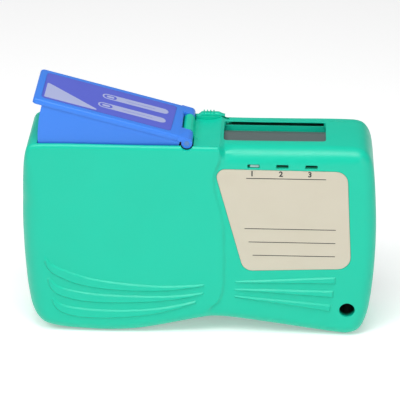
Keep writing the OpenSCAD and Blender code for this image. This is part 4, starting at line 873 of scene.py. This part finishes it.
# Name, node, body, middle, outer radius, turns drawn, finish and slot of each roll of tape
ROLLS = (
    ("fresh_tape_winding", "fresh_tape_roll", "supply", SUPPLY, FRESH_R, 17, "tape", "tape"),
    ("used_tape_winding", "used_tape_roll", "take_up", TAKEUP, USED_R, 9, "used", "used_tape"),
)
# Name, node, joint, share of its length kept, and place, ends, radius, wire and turns of each spring
SPRINGS = (
    ("lever_spring_coil", "lever_spring", "lever_press", 0.71, (-40.0, 2.4, 56.1, 87.38, 3.4, 0.6, 7)),
    ("slider_spring_coil", "slider_spring", "slider_drop", 0.29, (2.4, -1.65, 52.97, 60.83, 1.1, 0.4, 5)),
)


def build_wound_parts(mats):
    winding = winding_tree()
    for name, node, body, centre, outer_r, turns, key, slot in ROLLS:
        roll = wound_roll(name, winding, centre, outer_r, turns, mats[key])
        place(roll, body, slot, mats[key])
        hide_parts(node)
    for name, node, joint, keep, spec in SPRINGS:
        spring = coil_spring(name, winding, *spec, mats["spring"])
        place(spring, "housing", "spring_steel", mats["spring"])
        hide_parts(node)
        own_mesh(spring)


# ---- materials
def linear(hex_code):
    """The linear colour of a hex code."""
    parts = [int(hex_code[i:i + 2], 16) / 255 for i in (1, 3, 5)]
    return (*(c / 12.92 if c <= 0.04045 else ((c + 0.055) / 1.055) ** 2.4 for c in parts), 1.0)


class Finish:
    """A node material in millimetres: a base colour with tints on it, a grain and soft edges."""

    def __init__(self, name, colour, rough, metallic=0.0):
        self.mat = bpy.data.materials.new(name)
        self.mat.use_nodes = True
        self.base, self.rough, self.normal = linear(colour), rough, None
        self.set({"Roughness": rough, "Metallic": metallic, "Specular IOR Level": 0.5 if metallic else 0.4})
        spot = self.add("ShaderNodeTexCoord").outputs["Object"]
        self.mm = self.add("ShaderNodeVectorMath", {0: spot, "Scale": 1 / MM}, operation="SCALE")

    def add(self, kind, inputs=None, **settings):
        return add(self.mat.node_tree, kind, inputs, **settings)

    def set(self, inputs):
        feed(self.mat.node_tree, self.mat.node_tree.nodes["Principled BSDF"], inputs)
        return self

    def math(self, operation, a, b):
        return self.add("ShaderNodeMath", {0: a, 1: b}, operation=operation)

    def noise(self, period, detail=2.0):
        return self.add("ShaderNodeTexNoise", {"Vector": self.mm, "Scale": 1 / period, "Detail": detail})

    def ramp(self, source, low, high, out_low, out_high):
        inputs = {"Value": source, "From Min": low, "From Max": high, "To Min": out_low, "To Max": out_high}
        return self.add("ShaderNodeMapRange", inputs, interpolation_type="SMOOTHSTEP")

    def tint(self, fac, hex_code):
        """Lays another colour over the base where fac is high."""
        inputs = {"Factor": fac, "A": self.base, "B": linear(hex_code)}
        self.base = self.add("ShaderNodeMix", inputs, data_type="RGBA").outputs["Result"]
        return self

    def mottle(self, period, hex_code, amount):
        """Broad patches of a colour close to the base."""
        return self.tint(self.ramp(self.noise(period), 0.35, 0.75, 0.0, amount), hex_code)

    def grain(self, period, height, strength=0.6):
        inputs = {"Strength": strength, "Distance": height * MM, "Height": self.noise(period, 3.0)}
        if self.normal is not None:
            inputs["Normal"] = self.normal
        self.normal = self.add("ShaderNodeBump", inputs)
        return self

    def edge(self, radius):
        """Catches light on sharp edges as a moulded radius does."""
        self.normal = self.add("ShaderNodeBevel", {"Radius": radius * MM}, samples=4)
        return self

    def painted_bore_shade(self, axis, radius, hex_code):
        """Painted shade on the wall of a round hole along Y, darker from a little inside its mouth inwards.
        """
        x, y, z = self.add("ShaderNodeSeparateXYZ", {0: self.mm}).outputs
        flat = self.add("ShaderNodeCombineXYZ", {"X": x, "Z": z})
        away = self.add("ShaderNodeVectorMath", {0: flat, 1: (axis[0], 0.0, axis[1])}, operation="DISTANCE")
        near = self.ramp(away.outputs["Value"], radius - 0.05, radius, 1.0, 0.0)
        inside = self.ramp(y, LABEL_Y + 0.4, LABEL_Y + 3.5, 0.0, 1.0)
        return self.tint(self.math("MULTIPLY", near, inside), hex_code)

    def dark_box(self, low, high, hex_code):
        """Darkens the walls of a narrow recess between two corners, where little light gets in."""
        middle, half = ([(b + way * a) / 2 for a, b in zip(low, high)] for way in (1, -1))
        spot = self.mm
        for operation, value in (("SUBTRACT", middle), ("DIVIDE", half), ("ABSOLUTE", (0, 0, 0))):
            spot = self.add("ShaderNodeVectorMath", {0: spot, 1: value}, operation=operation)
        x, y, z = self.add("ShaderNodeSeparateXYZ", {0: spot}).outputs
        farthest = self.math("MAXIMUM", self.math("MAXIMUM", x, y), z)
        return self.tint(self.ramp(farthest, 0.93, 1.0, 1.0, 0.0), hex_code)

    def wear(self, period, amount):
        """Patches that are a little glossier or duller."""
        low, high = self.rough - amount, self.rough + amount
        return self.set({"Roughness": self.ramp(self.noise(period, 4.0), 0.3, 0.7, low, high)})

    def done(self):
        self.set({"Base Color": self.base})
        if self.normal is not None:
            self.set({"Normal": self.normal})
        return self.mat


def finishes():
    """All finishes by key: a name, a colour, a roughness and what lies on top."""
    shell = Finish("moulded_abs_sea_green", "#08CDAB", 0.38).edge(0.25).grain(0.35, 0.02, 0.35)
    # The strap hole's wall gets painted shade.
    shell.mottle(30.0, "#08C4A2", 0.25).painted_bore_shade(STRAP, STRAP_R + 0.2, "#02261C")
    gap = (WINDOW_X[0] - 1, WINDOW_Y[1] + 0.05, TOP_Z - 1.6), (WINDOW_X[1] + 1, 15.0, TOP_Z - 0.2)
    shell.dark_box(*gap, "#02392C").wear(6.0, 0.04)
    cream = Finish("printed_label_film_cream", "#D5CDBA", 0.42).edge(0.2)
    used = Finish("wiped_microfibre_tape", "#CFD1CA", 0.85).grain(0.12, 0.03, 0.8)
    out = {
        "shell": shell,
        "lever": Finish("moulded_abs_blue", "#3C85EF", 0.36).edge(0.2).grain(0.35, 0.02, 0.3).wear(6.0, 0.04),
        "label": cream.mottle(12.0, "#D1C8B4", 0.4).grain(0.5, 0.01, 0.3),
        "ink": Finish("screen_printed_ink_black", "#26292B", 0.5),
        "film": Finish("printed_label_film_violet", "#5A66D2", 0.42).mottle(10.0, "#545FCB", 0.4),
        "pale_ink": Finish("screen_printed_ink_lilac", "#AEB6DE", 0.5),
        "shutter": Finish("moulded_abs_grey", "#5A6867", 0.3).grain(0.6, 0.01, 0.3),
        # The type tab is white acetal, coloured darker and teal-grey as it looks deep in its slot: painted
        # shade and painted teal bounce light.
        "tab": Finish("acetal_white_with_painted_shade", "#A4C6C4", 0.42).edge(0.15),
        "white": Finish("moulded_acetal_white", "#EDEDE8", 0.42).edge(0.15),
        "black": Finish("moulded_nylon_black", "#2C3033", 0.5).edge(0.2).grain(0.5, 0.03),
        "steel": Finish("ground_steel", "#C4C8CC", 0.28, metallic=1.0).grain(0.2, 0.005),
        "blued_steel": Finish("blued_steel", "#5F86C0", 0.42, metallic=1.0).grain(0.2, 0.005),
        "spring": Finish("drawn_spring_wire", "#A9AFB5", 0.32, metallic=1.0),
        "gear": Finish("moulded_acetal_ivory", "#E4E0D2", 0.4).edge(0.1),
        "reel": Finish("moulded_polystyrene_grey", "#D8DCDF", 0.35).edge(0.15),
        "tape": Finish("woven_microfibre_tape", "#F3F3EF", 0.85).grain(0.12, 0.03, 0.8),
        "used": used.mottle(3.0, "#A9ACA4", 0.5),
        "roller": Finish("moulded_acetal_grey", "#989EA3", 0.38),
        "amber": Finish("moulded_acetal_amber", "#DCA446", 0.4).edge(0.15),
        "pad": Finish("soft_rubber_pad", "#474B4F", 0.75).grain(0.3, 0.03),
    }
    return {key: finish.done() for key, finish in out.items()}


def give(obj, material):
    """Makes the material the object's only one."""
    obj.data.materials.clear()
    obj.data.materials.append(material)


def place(obj, body, slot, material):
    """Gives a piece its material and the body it rides on. The slot is not used."""
    give(obj, material)
    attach(obj, body)


# ---- print on the two labels
DIGIT_X, DIGIT_Z, DIGIT_SIZE, DIGIT_RISE, DIGIT_BOLD = 19.5, 66.6, 2.9, 0.02, 0.09
FILM_Y = (LABEL_Y - 0.05, LABEL_Y + 0.28)
INDEX_RULE_X, INDEX_RULE_Z = (17.4, 46.4), (65.5, 65.8)
# The note rules: their heights, thickness and right end, and the slanting line of their left ends
NOTE_RULES_Z, RULE_T, RULE_X1, RULE_X0, RULE_SLANT = (34.0, 39.5, 45.0), 0.28, 50.5, 29.596, 0.28
# The two drawings on the lever's label: their middle in Y, and how far their ends are from the label's
DRAWINGS = ((-4.2, 20.6, 4.4), (4.0, 21.6, 3.8))
DRAWING_HALF, DRAWING_R = 2.1, 2.0
# What is left open in a drawing, its head and its line, and the plug printed in the head, from its ends
HEAD_X, HEAD_HALF, PLUG_X, PLUG_HALF = (0.6, 5.4), 1.45, (1.6, 4.4), 0.7
LINE_IN, LINE_Y = (9.0, 5.0), (-0.22, 0.02)


def face_rule(name, x, z):
    """A thin printed line on the face label."""
    return rounded_prism(name, rect(x, z), 0.05, 3, FILM_Y[0] - 0.02, FILM_Y[0] + 0.05)


def digit(name, text, x, z, depth):
    """One numeral, drawn a little bold, as a thin print."""
    curve = bpy.data.curves.new(name, "FONT")
    curve.body = text
    curve.size = DIGIT_SIZE * MM
    curve.align_x = "CENTER"
    curve.extrude = DIGIT_RISE * MM
    curve.offset = DIGIT_BOLD * MM
    text_object = linked(name, curve)
    mesh = evaluated_mesh(text_object)
    bpy.data.objects.remove(text_object)
    mesh.transform(Matrix.Translation((x * MM, depth * MM, z * MM)) @ Matrix.Rotation(math.pi / 2, 4, "X"))
    return linked(name, mesh)


def dress_face_label(mats):
    """The cream label: index numbers and a rule under the three slots, and three ruled lines left blank."""
    sheet = rounded_prism("face_label_film", drawn_in(scaled(LABEL), 0.168), LABEL_R, 6, *FILM_Y)
    place(sheet, "housing", "label_film", mats["label"])
    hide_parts("face_label")
    prints = [digit(f"index_{i}", str(i + 1), DIGIT_X + INDEX_PITCH * i, DIGIT_Z, FILM_Y[0] - OVERLAP)
              for i in range(3)]
    prints.append(face_rule("index_rule", INDEX_RULE_X, INDEX_RULE_Z))
    for k, z in enumerate(NOTE_RULES_Z):
        prints.append(face_rule(f"note_rule_{k}", (RULE_X0 - z * RULE_SLANT, RULE_X1), (z, z + RULE_T)))
    ink = joined("face_label_print", prints)
    place(ink, "housing", "label_film", mats["ink"])


def drawn_in(corners, gap):
    """The corners, each moved towards the middle by the gap."""
    way = corners.mean(axis=0) - corners
    return corners + way / np.linalg.norm(way, axis=1)[:, None] * gap


def lever_patch(name, corners, r, steps, low=-0.1, high=0.03):
    """A rounded patch on the lever's top, or with other heights a film or a cutter."""
    return on_lever(rounded_prism(name, corners, r, steps, LEVER_TOP + low, LEVER_TOP + high, "z"))


def dress_lever_label(mats):
    """The violet label: a pale corner, and two plain drawings of a round-ended slot with a plug in it."""
    sheet = lever_patch("lever_label_film", lever_label_corners(0.1), 1.4, 6, -LEVER_LABEL_T, 0.01)
    place(sheet, "thumb_lever", "lever_film", mats["film"])
    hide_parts("lever_label")
    (x0, x1), (y0, y1) = LEVER_LABEL_X, LEVER_LABEL_Y
    corner = [(x0 + 1.0, y0 + 1.2), (x0 + 22.0, y0 + 1.2), (x0 + 1.0, y1 - 8.5)]
    prints = [lever_patch("pale_corner", corner, 0.6, 4)]
    for k, (y, a, b) in enumerate(DRAWINGS):
        a, b = x0 + a, x1 - b
        body, head, plug = (rect((p, q), (y - half, y + half)) for p, q, half in (
            (a, b, DRAWING_HALF), (a + HEAD_X[0], a + HEAD_X[1], HEAD_HALF),
            (a + PLUG_X[0], a + PLUG_X[1], PLUG_HALF)))
        line = rect((a + LINE_IN[0], b - LINE_IN[1]), (y + LINE_Y[0], y + LINE_Y[1]))
        prints.append(boolean(lever_patch(f"slot_drawing_{k}", body, DRAWING_R, 8), [
            lever_patch("head", head, 1.35, 6, -1, 1), lever_patch("line", line, 0.1, 2, -1, 1)]))
        prints.append(lever_patch(f"plug_drawing_{k}", plug, 0.4, 4))
    ink = joined("lever_label_print", prints)
    place(ink, "thumb_lever", "lever_film", mats["pale_ink"])


# ---- build
mats = finishes()

front = build_front_shell()
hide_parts("front_shell")
place(front, "housing", "teal_shell", mats["shell"])
cover = build_rear_cover()
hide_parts("rear_cover")
place(cover, "cover", "teal_shell", mats["shell"])
lever = build_lever()
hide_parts("lever")
place(lever, "thumb_lever", "blue_plastic", mats["lever"])
dress_face_label(mats)
dress_lever_label(mats)
build_latch(copies_tree("row", ROW), mats["shell"])
build_screws(copies_tree("spots"), mats["steel"])
build_wound_parts(mats)
build_pad(mats["pad"])
build_tape(mats["tape"])

# The tab's front, the corners of its plate and tongue, and the sides of its nose
TAB_Y0 = -12.3
TAB_PLATE = ((17.0, TAB_Y0, 66.04), (23.0, -11.1, 71.19))
TAB_TONGUE = ((18.5, TAB_Y0, 61.99), (21.5, CHASSIS_Y1, 66.1))
TAB_NOSE = ((18.75, 22.05), (69.95, 70.9))
tab = joined("type_tab_skin", [
    box_piece("tab_plate", *TAB_PLATE),
    box_piece("tab_tongue", *TAB_TONGUE),
    rounded_prism("tab_nose", rect(*TAB_NOSE), 0.25, 3, LABEL_Y + 0.45, TAB_Y0 + 0.1),
])
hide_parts("type_tab")
place(tab, "housing", "white_plastic", mats["tab"])

# Pieces of the frame that keep their own mesh, by their finish
PLAIN = {
    "steel": ("takeup_spindle", "supply_spindle", "pawl_pin", "roller_pins", "ratchet_pawl"),
    "gear": ("drive_arm", "drive_gear", "ratchet_wheel"),
    "spring": ("pawl_spring", "supply_brake"), "reel": ("takeup_reel", "supply_reel"),
    "white": ("cartridge_frame", "guide_plate"), "roller": ("left_roller", "right_roller"),
    "black": ("chassis",), "blued_steel": ("hinge_pin",),
    "shutter": ("shutter",), "amber": ("shutter_slider",),
}
for key, nodes in PLAIN.items():
    for node in nodes:
        give(NODES[node], mats[key])


# ---- stage, light and camera
FLOOR_HALF, FLOOR_GLOW, WORLD_GLOW = 3000, 0.3, 0.3
# Name, place and size in millimetres, and watts of each light, and what they point at
LIGHTS = (
    ("key", (-380, -400, 620), 260, 1.9),
    ("fill", (520, -520, 260), 500, 1.1),
    ("top", (0, -230, 640), 300, 2.0),
)
LIGHT_AIM = (0, 0, 40)


def paper_floor():
    """White paper that shows white to the camera and in reflections, and keeps the object's shadow."""
    reach = (-FLOOR_HALF, FLOOR_HALF)
    floor = new_object("floor", [(x, y, 0) for x, y in rect(reach, reach)], [(0, 1, 2, 3)])
    paper = Finish("seamless_paper_white", "#FFFFFF", 0.95)
    rays = paper.add("ShaderNodeLightPath").outputs
    seen = rays["Is Camera Ray"]
    for other in ("Is Glossy Ray", "Is Transmission Ray"):
        seen = paper.math("MAXIMUM", seen, rays[other])
    paper.set({"Emission Color": (1, 1, 1, 1), "Emission Strength": paper.math("MULTIPLY", seen, FLOOR_GLOW)})
    give(floor, paper.done())


def area_light(name, place_mm, size_mm, watts):
    light = linked(name, bpy.data.lights.new(name, "AREA"))
    light.data.size = size_mm * MM
    light.data.energy = watts
    light.location = Vector(place_mm) * MM
    light.rotation_euler = (Vector(LIGHT_AIM) * MM - light.location).to_track_quat("-Z", "Y").to_euler()


paper_floor()
for light in LIGHTS:
    area_light(*light)
world = bpy.data.worlds.new("studio")
world.use_nodes = True
sky = world.node_tree
feed(sky, sky.nodes["Background"], {"Color": (1, 1, 1, 1), "Strength": WORLD_GLOW})
scene = bpy.context.scene
scene.world = world
scene.view_settings.view_transform = "Standard"

CAMERA_ELEVATION, CAMERA_AZIMUTH, CAMERA_DISTANCE = 26.4, 2.4, 800.0
CAMERA_TARGET = Vector((0, 0, 49.24)) * MM
# The lens in millimetres, and how far the camera sees in metres
FOCAL_LENGTH, FAR_END = 192.96, 20.0
camera = linked("camera", bpy.data.cameras.new("camera"))
camera.data.lens = FOCAL_LENGTH
camera.data.clip_end = FAR_END
elevation, azimuth = math.radians(CAMERA_ELEVATION), math.radians(CAMERA_AZIMUTH)
level = math.cos(elevation)
back = Vector((math.sin(azimuth) * level, -math.cos(azimuth) * level, math.sin(elevation)))
camera.location = CAMERA_TARGET + back * CAMERA_DISTANCE * MM
camera.rotation_euler = (-back).to_track_quat("-Z", "Y").to_euler()
scene.camera = camera
